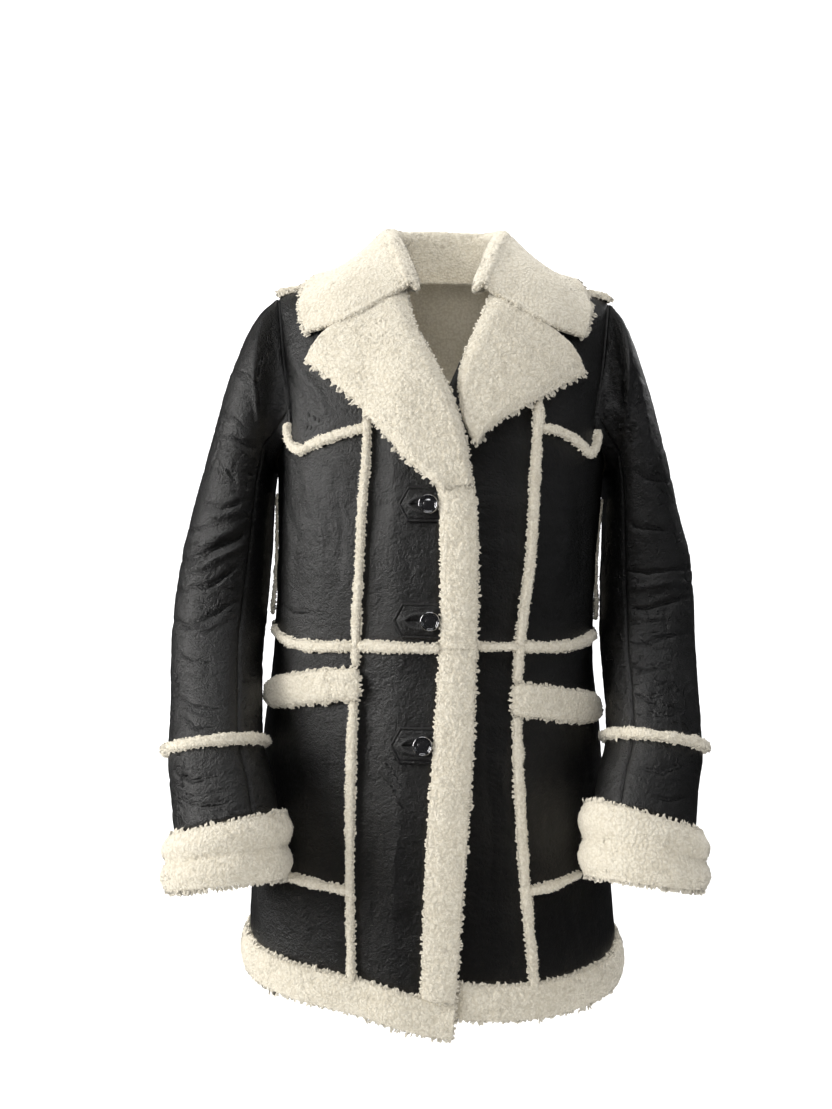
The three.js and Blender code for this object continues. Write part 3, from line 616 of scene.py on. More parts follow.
def round_over(part):
    return mix(BAND_EDGES, 1, np.sin(math.pi * np.clip(part, 0, 1)) ** 0.6)


# The picture: where a point shows, in the picture's own units

def seen(points):
    """Place in the picture of each point, from its left and from its top."""
    away = points[..., 1] - EYE[1]
    x = (points[..., 0] - EYE[0]) * FOCAL / away
    y = (EYE[2] - points[..., 2]) * FOCAL / away
    return np.stack([
        CENTRE[0] + x * math.cos(ROLL) - y * math.sin(ROLL),
        CENTRE[1] + y * math.cos(ROLL) + x * math.sin(ROLL),
    ], axis=-1)


# Creases up to BROAD wide are narrow: their troughs are sharper and deeper than those of broad folds
BROAD = 5.5
BROAD_SHARE = 0.85
TROUGH_SHARP = 1.3
NARROW = 1.5

# Creases on the sides that the picture shows: width, depth and the places that each runs through.
# A negative depth is a trough. Widths and places are in the picture's units.
CREASES = [
    # upper sleeve to the left of the picture
    (3.0, -1.7, [(231, 366), (246, 374), (262, 391)]),
    (4.5, 1.5, [(227, 372), (243, 382), (256, 399)]),
    (2.8, -1.5, [(222, 409), (235, 417), (248, 429)]),
    (3.0, -1.9, [(222, 432), (237, 439), (255, 450)]),
    (4.5, 1.6, [(220, 440), (236, 448), (252, 459)]),
    (2.8, -1.6, [(212, 460), (224, 469), (234, 481)]),
    (3.2, -1.4, [(240, 470), (256, 478), (268, 492)]),
    (3.6, -2.2, [(200, 505), (220, 508), (243, 501)]),
    (5.0, 1.8, [(199, 513), (221, 517), (246, 509)]),
    (4.2, -3.0, [(178, 560), (203, 556), (228, 544), (254, 530)]),
    (6.5, 2.8, [(179, 571), (205, 566), (231, 553), (256, 540)]),
    (6.0, 2.2, [(181, 550), (205, 545), (229, 533), (250, 520)]),
    (3.6, -2.3, [(176, 590), (198, 588), (220, 579), (240, 566)]),
    (3.4, -1.8, [(186, 529), (205, 530), (225, 523)]),
    (3.8, -2.2, [(172, 622), (194, 621), (216, 612), (238, 600)]),
    (5.2, 1.8, [(173, 632), (195, 631), (218, 622)]),
    (3.0, -1.4, [(174, 655), (192, 662), (212, 662)]),
    (3.2, -1.6, [(176, 700), (190, 707), (212, 709), (226, 704)]),
    (3.0, -1.4, [(178, 719), (196, 727), (216, 728)]),
    (3.0, 1.4, [(177, 712), (196, 718), (220, 718)]),
    (3.2, -1.4, [(262, 350), (256, 380), (260, 412)]),
    (7.0, 2.0, [(222, 330), (206, 390), (196, 450)]),
    (6.0, -1.6, [(240, 320), (228, 370), (220, 420)]),
    # lower sleeve to the left
    (3.4, -1.6, [(176, 770), (196, 778), (222, 778)]),
    (3.0, -1.4, [(182, 800), (204, 807), (232, 804)]),
    (3.0, 1.2, [(180, 786), (204, 793), (230, 791)]),
    # chest and yoke to the left
    (9.0, 2.6, [(279, 330), (300, 372), (322, 404), (336, 428)]),
    (6.0, -2.0, [(272, 340), (287, 378), (304, 408)]),
    (2.6, -1.2, [(299, 420), (309, 425), (321, 433)]),
    (2.6, -1.1, [(303, 410), (316, 416), (328, 424)]),
    (5.0, -1.4, [(325, 330), (338, 356), (352, 384)]),
    (8.0, 1.8, [(300, 470), (318, 520), (322, 575)]),
    (7.0, -1.6, [(284, 480), (296, 530), (298, 590)]),
    (7.0, -1.4, [(338, 470), (340, 530), (336, 590)]),
    (3.0, -1.2, [(276, 604), (292, 612), (310, 612)]),
    # centre panels
    (8.0, 1.5, [(392, 440), (396, 480), (392, 540), (394, 590)]),
    (6.0, -1.3, [(412, 530), (410, 560), (414, 590)]),
    (7.0, -1.3, [(378, 560), (380, 600), (384, 630)]),
    (3.0, -1.2, [(374, 762), (390, 772), (404, 790)]),
    (2.8, -1.1, [(378, 780), (392, 792), (402, 812)]),
    (3.6, 1.2, [(372, 772), (388, 784), (400, 804)]),
    (2.6, -1.0, [(388, 758), (400, 764), (412, 776)]),
    (8.0, 1.6, [(400, 800), (392, 870), (396, 950)]),
    (7.0, -1.4, [(372, 820), (374, 890), (370, 950)]),
    (8.0, 1.4, [(496, 480), (498, 540), (494, 600)]),
    (7.0, -1.4, [(486, 700), (490, 780), (492, 860), (490, 930)]),
    (7.0, 1.4, [(508, 700), (506, 790), (512, 880)]),
    # lower side panels
    (8.0, 1.6, [(306, 730), (302, 790), (308, 850)]),
    (7.0, -1.5, [(326, 720), (330, 790), (326, 860)]),
    (8.0, 1.5, [(560, 730), (566, 790), (562, 850)]),
    (7.0, -1.5, [(545, 725), (546, 790), (548, 860)]),
    (7.0, -1.4, [(585, 740), (590, 790), (588, 830)]),
    (6.0, 1.4, [(300, 900), (306, 930), (302, 950)]),
    (6.0, 1.4, [(570, 900), (574, 930), (576, 950)]),
    # chest to the right
    (8.0, 1.7, [(560, 470), (566, 520), (562, 580)]),
    (7.0, -1.6, [(578, 470), (584, 530), (580, 590)]),
    (6.0, -1.4, [(560, 330), (574, 366), (580, 400)]),
    # sleeve to the right
    (6.0, -1.8, [(612, 340), (622, 400), (628, 450)]),
    (7.0, 2.0, [(632, 350), (646, 410), (654, 470)]),
    (3.4, -2.0, [(620, 520), (644, 530), (668, 528)]),
    (4.0, -2.6, [(614, 566), (640, 576), (668, 574), (690, 566)]),
    (6.0, 2.4, [(614, 578), (640, 588), (668, 587), (692, 580)]),
    (3.6, -2.4, [(616, 604), (642, 610), (668, 606), (690, 598)]),
    (5.0, 1.9, [(618, 614), (644, 621), (670, 618)]),
    (3.4, -2.0, [(614, 640), (640, 644), (664, 639), (688, 632)]),
    (3.2, -1.8, [(618, 664), (644, 670), (672, 666)]),
    (3.2, -1.6, [(624, 690), (646, 696), (680, 690)]),
    (3.0, -1.4, [(632, 712), (654, 716), (684, 710)]),
    (3.2, -1.6, [(634, 470), (652, 480), (672, 478)]),
    (3.2, -1.4, [(636, 770), (660, 774), (688, 768)]),
    (3.0, -1.4, [(650, 796), (670, 800), (690, 797)]),
]

# Creases on the hidden side, as width, depth and places given as x and z in millimetres
BACK_CREASES = [
    (14, 2.4, [(-120, -120), (-104, -180), (-112, -240)]),
    (11, -2.2, [(-142, -140), (-130, -190), (-140, -250)]),
    (14, 2.2, [(118, -130), (102, -190), (110, -250)]),
    (11, -2.0, [(140, -150), (128, -205), (136, -255)]),
    (12, -1.8, [(-60, -300), (-20, -318), (40, -306)]),
    (14, 1.8, [(-70, -330), (-16, -346), (50, -334)]),
    (12, -1.8, [(-90, -390), (-30, -396), (44, -388), (96, -394)]),
    (16, 2.0, [(-60, -470), (-54, -580), (-66, -700)]),
    (15, -1.8, [(20, -460), (26, -580), (16, -720)]),
    (16, 2.0, [(92, -470), (96, -590), (90, -720)]),
    (15, -1.8, [(-130, -480), (-136, -590), (-130, -710)]),
    (7, -2.2, [(-290, -400), (-256, -412), (-214, -404)]),
    (9, 2.2, [(-290, -386), (-256, -398), (-214, -390)]),
    (7, -2.4, [(-288, -446), (-254, -456), (-212, -446)]),
    (7, -1.8, [(-286, -490), (-250, -498), (-214, -490)]),
    (7, -1.6, [(-262, -300), (-236, -312), (-206, -306)]),
    (7, -2.2, [(280, -394), (246, -408), (206, -402)]),
    (9, 2.2, [(280, -380), (246, -392), (206, -386)]),
    (7, -2.4, [(278, -440), (244, -452), (204, -444)]),
    (7, -1.8, [(276, -486), (242, -494), (206, -488)]),
    (7, -1.6, [(254, -296), (228, -310), (200, -304)]),
]


def stroke_distance(places, line):
    """Distance from each place to a line, and how far along the line the nearest point lies."""
    nearest = np.full(places.shape[:-1], 1e9)
    part = np.zeros(places.shape[:-1])
    count = len(line) - 1
    for number, (start, end) in enumerate(zip(line[:-1], line[1:])):
        start, run = np.array(start, float), np.subtract(end, start).astype(float)
        t = np.clip(((places - start) @ run) / (run @ run), 0, 1)
        gap = np.linalg.norm(places - start - t[..., None] * run, axis=-1)
        closer = gap < nearest
        nearest = np.where(closer, gap, nearest)
        part = np.where(closer, (number + t) / count, part)
    return nearest, part


def strokes(places, facing, table):
    """Height of the creases of a table, and how far each place lies in a narrow one, from 0 to 1."""
    total, inside = np.zeros(places.shape[:-1]), np.zeros(places.shape[:-1])
    low, high = places.min(axis=(0, 1)), places.max(axis=(0, 1))
    for width, depth, line in table:
        first, last = np.min(line, axis=0) - 2 * width, np.max(line, axis=0) + 2 * width
        if (first > high).any() or (last < low).any():
            continue
        gap, part = stroke_distance(places, line)
        fading = np.sin(math.pi * mix(0.1, 0.9, part)) ** 0.8
        if depth < 0 and width <= BROAD:
            total += NARROW * depth * np.exp(-(gap / (0.5 * width)) ** TROUGH_SHARP) * fading
            inside = np.maximum(inside, np.exp(-(gap / (0.36 * width)) ** 2) * fading)
        else:
            share = BROAD_SHARE if width > BROAD else 1
            total += share * depth * np.exp(-(gap / (0.55 * width)) ** 2) * fading
    return total * facing, inside * facing


def crumple(points, size, seed):
    """A net of narrow troughs, from -1 to 0."""
    return -np.maximum(1 - np.abs(noise(points, size, seed)) / 0.16, 0) ** 1.2


def leather_relief(points, normals, crumpled):
    """How far the leather stands off its plain form, and how far each place lies in a crease."""
    warped = points + 5 * np.stack([noise(points, 31, SEED + axis) for axis in range(3)], axis=-1)
    warped += 1.3 * np.stack([noise(points, 8, SEED + 80 + axis) for axis in range(3)], axis=-1)
    toward = smooth(-0.05, 0.35, -normals[..., 1])
    away = smooth(-0.05, 0.35, normals[..., 1])
    relief, inside = strokes(seen(warped), toward, CREASES)
    hidden_relief, hidden_inside = strokes(warped[..., [0, 2]], away, BACK_CREASES)
    relief += hidden_relief + 1.5 * noise(points, 70, SEED + 3) + 0.8 * noise(points, 27, SEED + 4)
    relief += 0.3 * noise(points * (1, 1, 1.7), 9, SEED + 5)
    patches = smooth(-0.25, 0.35, noise(points, 48, SEED + 6))
    flat = warped * (1, 1, 1.8)
    folds = crumple(flat, 26, SEED + 9), crumple(flat, 12, SEED + 10)
    relief += crumpled * patches * (0.9 * folds[0] + 0.5 * folds[1])
    inside = np.maximum(inside + hidden_inside, -0.8 * crumpled * patches * folds[1])
    return relief, inside


# Pieces

def grid_faces(rows, cols, closed=False, first=0):
    i, j = np.meshgrid(np.arange(rows - 1), np.arange(cols if closed else cols - 1), indexing="ij")
    a, b = i * cols + j, i * cols + (j + 1) % cols
    return first + np.stack([a, b, b + cols, a + cols], axis=-1).reshape(-1, 4)


def make(name, points, faces, materials, slots=None):
    """A smooth piece from points in millimetres, riding on the coat."""
    mesh = bpy.data.meshes.new(name)
    mesh.from_pydata((np.asarray(points, float).reshape(-1, 3) * MM).tolist(), [], faces.tolist())
    for material in materials:
        mesh.materials.append(material)
    if slots is not None:
        mesh.polygons.foreach_set("material_index", np.asarray(slots, np.int32))
    mesh.shade_smooth()
    mesh.update()
    piece = bpy.data.objects.new(name, mesh)
    bpy.context.scene.collection.objects.link(piece)
    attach(piece, "root")
    return piece


def grid_normals(points, outward, closed=False):
    """Normals of a grid of points, turned to the side of the given directions."""
    if closed:
        across = np.roll(points, -1, axis=1) - np.roll(points, 1, axis=1)
    else:
        across = np.gradient(points, axis=1)
    normals = unit(np.cross(across, np.gradient(points, axis=0)))
    turned = np.sign((normals * outward).sum())
    return normals * turned


def face_direction(points, face):
    a, b, c = points.reshape(-1, 3)[face[:3]]
    return np.cross(b - a, c - a)


def rimmed(name, points, normals, depth, material):
    """A grid of points with a rim that turns in all round."""
    rows, cols = points.shape[:2]
    grid = np.pad(points, ((1, 1), (1, 1), (0, 0)), mode="edge")
    inward = np.pad(normals, ((1, 1), (1, 1), (0, 0)), mode="edge") * -np.asarray(depth, float)
    ring = np.ones(grid.shape[:2], bool)
    ring[1:-1, 1:-1] = False
    grid[ring] += inward[ring]
    faces = grid_faces(rows + 2, cols + 2).reshape(rows + 1, cols + 1, 4)
    keep = np.ones((rows + 1, cols + 1), bool)
    keep[[0, 0, -1, -1], [0, -1, 0, -1]] = False
    faces = faces[keep]
    if face_direction(grid, faces[len(faces) // 2]) @ normals[rows // 2, cols // 2] < 0:
        faces = faces[:, ::-1]
    return make(name, grid, faces, [material])


def two_sided(name, outer, inner, materials, closed=False):
    """A closed wall between two grids of points."""
    rows, cols = outer.shape[:2]
    count = rows * cols
    sheet = grid_faces(rows, cols, closed)
    parts = [sheet, (sheet + count)[:, ::-1]]
    edges = [np.arange(cols), (rows - 1) * cols + np.arange(cols)[::-1]]
    if closed:
        edges = [np.append(edges[0], 0), np.append(edges[1], (rows - 1) * cols + cols - 1)]
    else:
        side = np.arange(rows) * cols
        edges += [side[::-1], side + cols - 1]
    for edge in edges:
        a, b = edge[:-1], edge[1:]
        parts.append(np.stack([b, a, a + count, b + count], axis=-1))
    faces = np.concatenate(parts)
    points = np.concatenate([outer.reshape(-1, 3), inner.reshape(-1, 3)])
    middle = sheet[len(sheet) // 2]
    if face_direction(points, middle) @ (outer - inner).reshape(-1, 3)[middle[0]] < 0:
        faces = faces[:, ::-1]
    slots = np.zeros(len(faces), int)
    if len(materials) > 1:
        slots[len(sheet):2 * len(sheet)] = 1
    return make(name, points, faces, materials, slots)


def line_length(line):
    return np.linalg.norm(np.diff(line, axis=0), axis=-1).sum()


def spread(length, step, fine=True):
    """Parts of the way along a length, closer together near both ends."""
    ends = np.array([0, 0.9, 2.0, 3.4, 5.2]) / length if fine else np.array([0.0])
    ends = ends[ends < 0.3]
    count = max(int(round((1 - 2 * ends[-1]) * length / step)), 2)
    middle = np.linspace(ends[-1], 1 - ends[-1], count + 1)
    return np.concatenate([ends[:-1], middle, 1 - ends[:-1][::-1]])


def panel(surface, start, end, low, high, step, offset=0, fine=True):
    """Points and normals of a wall between two seams and two heights, with u, v and edge distances."""
    def place(u, v):
        height = mix(low(u) + SEAM / 2, high(u) - SEAM / 2, v)
        return mix(start(height), end(height), u), height

    half = np.linspace(0, 1, 9)
    across = surface.at(*place(half, np.full(9, 0.5)))
    up = surface.at(*place(np.full(9, 0.5), half))
    lengths = [line_length(line) for line in (across, up)]
    u, v = np.meshgrid(spread(lengths[0], step, fine), spread(lengths[1], step, fine))
    height = mix(low(u) + SEAM / 2, high(u) - SEAM / 2, v)
    first, last = start(height), end(height)
    wide = np.linalg.norm(surface.slopes(mix(first, last, u), height)[0], axis=-1)
    inset = SEAM / 2 / wide * np.sign(last - first)
    angle = mix(first + inset, last - inset, u)
    base = surface.at(angle, height)
    normals = surface.normal(angle, height)
    u_gap = np.minimum(u, 1 - u) * np.abs(last - first) * wide
    v_gap = np.minimum(v, 1 - v) * lengths[1]
    lift = offset(u, v, base) if callable(offset) else offset
    points = base + normals * np.asarray(lift, float)[..., None]
    front = base[..., 1] < 0
    y = points[..., 1]
    points[..., 1] = np.where(front, np.minimum(y, -SEAM / 2), np.maximum(y, SEAM / 2))
    return points, normals, u_gap, v_gap


def face_areas(points):
    """Area of each face of a grid of points."""
    a, b = points[1:, 1:] - points[:-1, :-1], points[1:, :-1] - points[:-1, 1:]
    return np.linalg.norm(np.cross(a, b), axis=-1) / 2


def sheet_size(points):
    """Width, length and area of a grid of points laid flat, in metres."""
    width = np.linalg.norm(np.diff(points, axis=1), axis=-1).sum(axis=1).max() * MM
    length = np.linalg.norm(np.diff(points, axis=0), axis=-1).sum(axis=0).max() * MM
    area = face_areas(points).sum() * MM * MM
    return (float(width), float(length)), float(min(area, width * length))


def leather_sheet(name, points, normals, u_gap, v_gap, nodes, held="hung", crumpled=0.35,
                  thick=LEATHER_THICK):
    """A leather panel with sunk seams, creases and turned-in edges."""
    gap = np.minimum(u_gap, v_gap)
    relief, inside = leather_relief(points, normals, crumpled)
    pucker = PUCKER * noise(points, 11, SEED + 8) * np.exp(-gap / 9)
    sunk = SEAM_SUNK * np.exp(-(gap / SEAM_REACH) ** 2) + LEATHER_SUNK
    height = relief * smooth(0, 14, gap) + pucker - sunk
    shown = points + normals * height[..., None]
    piece = rimmed(name, shown, normals, thick, MATERIALS["leather"])
    creased = np.pad(inside * smooth(0, 6, gap), 1, mode="edge")
    fold = piece.data.attributes.new("fold", "FLOAT", "POINT")
    fold.data.foreach_set("value", creased.ravel().astype(np.float32))
    flat, area = sheet_size(shown)
    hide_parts(*nodes)
    return piece


# Wool

def wool_relief(points, size=5.2, depth=2.1):
    """Height of the wool's curls over its plain form."""
    warped = points + 1.6 * np.stack([noise(points, 6, SEED + 20 + axis) for axis in range(3)], axis=-1)
    relief = depth * (lumps(warped, size, SEED + 24) - 0.62)
    relief += 0.35 * depth * (lumps(warped, size * 0.55, SEED + 28) - 0.6)
    return relief + 0.6 * noise(points, 21, SEED + 32)


def side_vectors(normals):
    """Two directions at right angles to each normal."""
    helper = np.where(np.abs(normals[:, 2:3]) < 0.8, (0.0, 0.0, 1.0), (1.0, 0.0, 0.0))
    first = unit(np.cross(normals, helper))
    return first, np.cross(normals, first)


# Tufts: softness of their shading, clumps along an edge, and their sections as place, size and bend
TUFT_SOFT = 0.6
CLUMP = 5.2
SHORT_TUFT = ((0, 1, 0),)
LONG_TUFT = ((0, 1, 0), (0.65, 0.95, 0.8))


class Tufts:
    """Small bent tufts of wool, gathered until they are made into one piece."""

    def __init__(self, name, seed):
        self.name, self.random = name, np.random.default_rng(seed)
        self.points, self.shades = [], []

    def add(self, roots, directions, lengths, widths, bend, facing, sections):
        """Tufts from roots to tips; their shading is mostly that of the wool that they stand on."""
        first, second = side_vectors(directions)
        turn = self.random.uniform(0, 2 * math.pi, len(roots))[:, None]
        side = first * np.cos(turn) + second * np.sin(turn)
        long, wide = lengths[:, None], widths[:, None]
        rings, shades = [], []
        for part, size, curl in sections:
            centre = roots + directions * long * part + side * long * bend * curl
            for corner in range(3):
                angle = turn + 2 * math.pi * corner / 3 + part * 1.4
                ring = first * np.cos(angle) + second * np.sin(angle)
                rings.append(centre + ring * wide * size)
                shades.append(unit(mix(ring, facing, TUFT_SOFT)))
        rings.append(roots + directions * long * 0.95 - side * long * bend * 0.4)
        shades.append(unit(mix(directions, facing, TUFT_SOFT)))
        self.points.append(np.stack(rings, axis=1))
        self.shades.append(np.stack(shades, axis=1))

    def over(self, points, normals, spacing=2.5, length=2.8, lean=0.95):
        """Tufts all over a grid of points, leaning in slowly turning directions."""
        area = face_areas(points).ravel()
        count = int(area.sum() / spacing ** 2)
        if count < 1:
            return
        cell = self.random.choice(len(area), count, p=area / area.sum())
        i, j = np.divmod(cell, points.shape[1] - 1)
        s, t = self.random.uniform(0, 1, (2, count, 1))
        root = mix(mix(points[i, j], points[i, j + 1], s), mix(points[i + 1, j], points[i + 1, j + 1], s), t)
        normal = unit(normals[i, j])
        first, second = side_vectors(normal)
        turn = 5 * noise(root, 17, SEED + 40) + self.random.normal(0, 0.9, count)
        flat = first * np.cos(turn)[:, None] + second * np.sin(turn)[:, None]
        tilt = lean + self.random.normal(0, 0.2, count)
        direction = unit(normal * np.cos(tilt)[:, None] + flat * np.sin(tilt)[:, None])
        lengths = length * self.random.uniform(0.65, 1.25, count)
        widths = self.random.uniform(1.0, 1.6, count)
        self.add(root - normal * 0.8, direction, lengths, widths, 0.25, normal, SHORT_TUFT)

    def edge(self, line, outward, normal, spacing=1.3, length=4.3):
        """A row of pointed clumps of longer tufts that stand out from an edge."""
        steps = np.linalg.norm(np.diff(line, axis=0), axis=-1)
        along = np.concatenate([[0], np.cumsum(steps)])
        count = int(along[-1] / spacing)
        if count < 1:
            return
        place = np.sort(self.random.uniform(0, along[-1], count))
        root, out, up, run = (
            np.stack([np.interp(place, along, rows[:, k]) for k in range(3)], axis=-1)
            for rows in (line, unit(outward), unit(normal), unit(np.gradient(line, axis=0))))
        swing = place / CLUMP + 0.8 * noise(root, 23, SEED + 44)
        clump = np.floor(swing)
        away = swing - clump - 0.5
        cell = np.stack([clump, np.full(count, 7.0), np.full(count, 3.0)], axis=-1).astype(np.int64)
        share, side = lattice(cell, SEED + 45), lattice(cell, SEED + 46) - 0.5
        sway = side * 1.1 - away * 1.1 + self.random.normal(0, 0.2, count)
        lift = 0.7 * (lattice(cell, SEED + 47) - 0.35) + self.random.normal(0, 0.15, count)
        direction = unit(out + run * sway[:, None] + up * lift[:, None])
        lengths = length * mix(0.7, 1.3, share) * (1.1 - 0.5 * np.abs(away))
        lengths = lengths * self.random.uniform(0.85, 1.1, count)
        widths = self.random.uniform(1.1, 1.7, count)
        sunk = up * self.random.uniform(0.2, 2.6, count)[:, None]
        self.add(root - out * 1.4 - sunk, direction, lengths, widths, 0.15, unit(up + out * 0.5), LONG_TUFT)

    def finish(self):
        """One piece of all the tufts, each closed by its tip and open at its root."""
        faces, first = [], 0
        for group in self.points:
            count, size = group.shape[:2]
            roots = first + size * np.arange(count)[:, None, None]
            sections = (size - 1) // 3
            for k in range(sections - 1):
                sides = [(3 * k + a, 3 * k + (a + 1) % 3) for a in range(3)]
                wall = [(low, high, high + 3, low + 3) for low, high in sides]
                faces += (roots + np.array(wall)).reshape(-1, 4).tolist()
            tip = [(size - 4 + a, size - 4 + (a + 1) % 3, size - 1) for a in range(3)]
            faces += (roots + np.array(tip)).reshape(-1, 3).tolist()
            first += count * size
        points, shades = (np.concatenate([group.reshape(-1, 3) for group in groups])
                          for groups in (self.points, self.shades))
        mesh = bpy.data.meshes.new(self.name)
        mesh.from_pydata((points * MM).tolist(), [], faces)
        mesh.materials.append(MATERIALS["wool_tufts"])
        mesh.shade_smooth()
        mesh.update()
        mesh.normals_split_custom_set_from_vertices(shades.tolist())
        piece = bpy.data.objects.new(self.name, mesh)
        bpy.context.scene.collection.objects.link(piece)
        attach(piece, "root")


def wool_sheet(name, points, normals, depth, nodes, tufts, length=2.8, edges=4, spacing=2.5, curly=1):
    """A woolly piece: curls over its face, a rim that turns in, and tufts on face and edges.

    edges is the length of the tufts at all its edges, or at its first, last, left and right ones.
    """
    shown = points + normals * (wool_relief(points) * curly)[..., None]
    piece = rimmed(name, shown, normals, depth, MATERIALS["wool"])
    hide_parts(*nodes)
    tufts.over(shown, normals, spacing=spacing, length=length)
    sides = (
        (shown[0], shown[1], normals[0]),
        (shown[-1], shown[-2], normals[-1]),
        (shown[:, 0], shown[:, 1], normals[:, 0]),
        (shown[:, -1], shown[:, -2], normals[:, -1]),
    )
    for (line, next_line, normal), reach in zip(sides, np.broadcast_to(edges, 4)):
        if reach > 0:
            tufts.edge(line, line - next_line, normal, length=reach)


def strip(surface, path, length, width, height, step=WOOL_STEP, closed=False, ragged=STRIP_UNEVEN):
    """Points and normals of a raised strip along a path of places on a surface."""
    count = max(int(length / step), 6)
    part = np.linspace(0, 1, count + 1)
    delta = 0.25 / count
    u, v = path(part)
    low = part - delta if closed else np.maximum(part - delta, 0)
    high = part + delta if closed else np.minimum(part + delta, 1)
    u0, v0 = path(low)
    u1, v1 = path(high)
    across, up = surface.slopes(u, v)
    run = unit(across * (u1 - u0)[:, None] + up * (v1 - v0)[:, None])
    side = np.cross(surface.normal(u, v), run)
    u_per = (side * across).sum(axis=-1) / (across ** 2).sum(axis=-1)
    v_per = (side * up).sum(axis=-1) / (up ** 2).sum(axis=-1)
    wide, tall = np.broadcast_to(width(part), part.shape), np.broadcast_to(height(part), part.shape)
    sides = np.linspace(-1, 1, max(int(wide.max() / step) + 1, 7))
    middle = surface.at(u, v)
    uneven = STRIP_SHOWN + ragged * noise(middle, 13, SEED + 70)
    ends = 1 if closed else mix(0.72, 1, smooth(0, 5, np.minimum(part, 1 - part) * length))
    reach = sides[None, :] * (wide * uneven * ends)[:, None] / 2
    profile = mix(0.35, 1, (1 - np.abs(sides) ** 4) ** 0.7)
    places = (u[:, None] + u_per[:, None] * reach, v[:, None] + v_per[:, None] * reach)
    points = surface.point(*places, REST + (tall * uneven * ends)[:, None] * profile[None, :])
    return points, surface.normal(*places)


def route(side, rows, before=0, after=0):
    """A path through places given as outward distance and height on one front, and on past its ends."""
    x, z = np.array(rows, float).T
    heights = height_at(x, z)
    places = np.stack([angle_at(side, x, heights), heights], axis=-1)

    steps = np.hypot(np.diff(x), np.diff(z))
    first, last = -before / steps[0], len(steps) + after / steps[-1]

    def path(part):
        point = weights(len(places), mix(first, last, np.asarray(part))) @ places
        return point[..., 0], point[..., 1]

    return path, (steps.sum() + before + after) * 1.15


# Materials

class Value:
    """A socket of a material, on which sums are written as plain expressions."""

    def __init__(self, shader, socket):
        self.shader, self.socket = shader, socket

    def sum_with(self, operation, *others):
        inputs = dict(enumerate((self, *others)))
        return self.shader.node("ShaderNodeMath", {"operation": operation}, inputs)

    def __add__(self, other):
        return self.sum_with("ADD", other)

    def __sub__(self, other):
        return self.sum_with("SUBTRACT", other)

    def __mul__(self, other):
        return self.sum_with("MULTIPLY", other)

    def __rsub__(self, other):
        return self.shader.node("ShaderNodeMath", {"operation": "SUBTRACT"}, {0: other, 1: self})

    __radd__ = __add__
    __rmul__ = __mul__

    def power(self, other):
        return self.sum_with("POWER", other)


class Shader:
    """A material and the nodes that it is made of."""

    def __init__(self, name):
        self.material = bpy.data.materials.new(name)
        self.material.use_nodes = True
        self.tree = self.material.node_tree
        self.surface = self.tree.nodes["Principled BSDF"]

    def node(self, kind, settings=None, inputs=None, output=0):
        made = self.tree.nodes.new(kind)
        for name, value in (settings or {}).items():
            setattr(made, name, value)
        self.fill(made, inputs or {})
        return Value(self, made.outputs[output])

    def fill(self, made, inputs):
        for name, value in inputs.items():
            if isinstance(value, Value):
                self.tree.links.new(value.socket, made.inputs[name])
            else:
                made.inputs[name].default_value = value

    def place(self):
        return self.node("ShaderNodeTexCoord", output="Object")

    def noise(self, place, scale, detail=3.0, rough=0.55):
        inputs = {"Vector": place, "Scale": scale, "Detail": detail, "Roughness": rough}
        return self.node("ShaderNodeTexNoise", {}, inputs)

    def cells(self, place, scale, feature="F1"):
        inputs = {"Vector": place, "Scale": scale}
        return self.node("ShaderNodeTexVoronoi", {"feature": feature}, inputs)

    def warped(self, place, scale, reach):
        """Places shifted unevenly by up to half of reach."""
        shift = self.node("ShaderNodeTexNoise", {}, {"Vector": place, "Scale": scale}, output=1)
        shift = self.node("ShaderNodeVectorMath", {"operation": "SCALE"}, {0: shift, "Scale": reach})
        return self.node("ShaderNodeVectorMath", {"operation": "ADD"}, {0: place, 1: shift})

    def stretched(self, place, factors):
        return self.node("ShaderNodeVectorMath", {"operation": "MULTIPLY"}, {0: place, 1: factors})

    def creases(self, place, scale):
        """Narrow lines where a smooth noise passes through its middle, as a height from 0 to 1."""
        away = (self.noise(place, scale, 2.0) - 0.5).sum_with("ABSOLUTE")
        return self.band(away, 0.0, 0.03)

    def band(self, value, low, high, start=0.0, end=1.0):
        inputs = {"Value": value, "From Min": low, "From Max": high, "To Min": start, "To Max": end}
        return self.node("ShaderNodeMapRange", {"interpolation_type": "SMOOTHSTEP"}, inputs)

    def colours(self, part, first, second):
        inputs = {0: part, 6: (*first, 1), 7: (*second, 1)}
        return self.node("ShaderNodeMix", {"data_type": "RGBA"}, inputs, output=2)

    def bump(self, height, distance, strength=1.0, under=None):
        inputs = {"Height": height, "Distance": distance, "Strength": strength}
        if under is not None:
            inputs["Normal"] = under
        return self.node("ShaderNodeBump", {}, inputs)


LEATHER_DARK = (0.0020, 0.0020, 0.0021)
LEATHER_LIGHT = (0.0038, 0.0038, 0.0036)


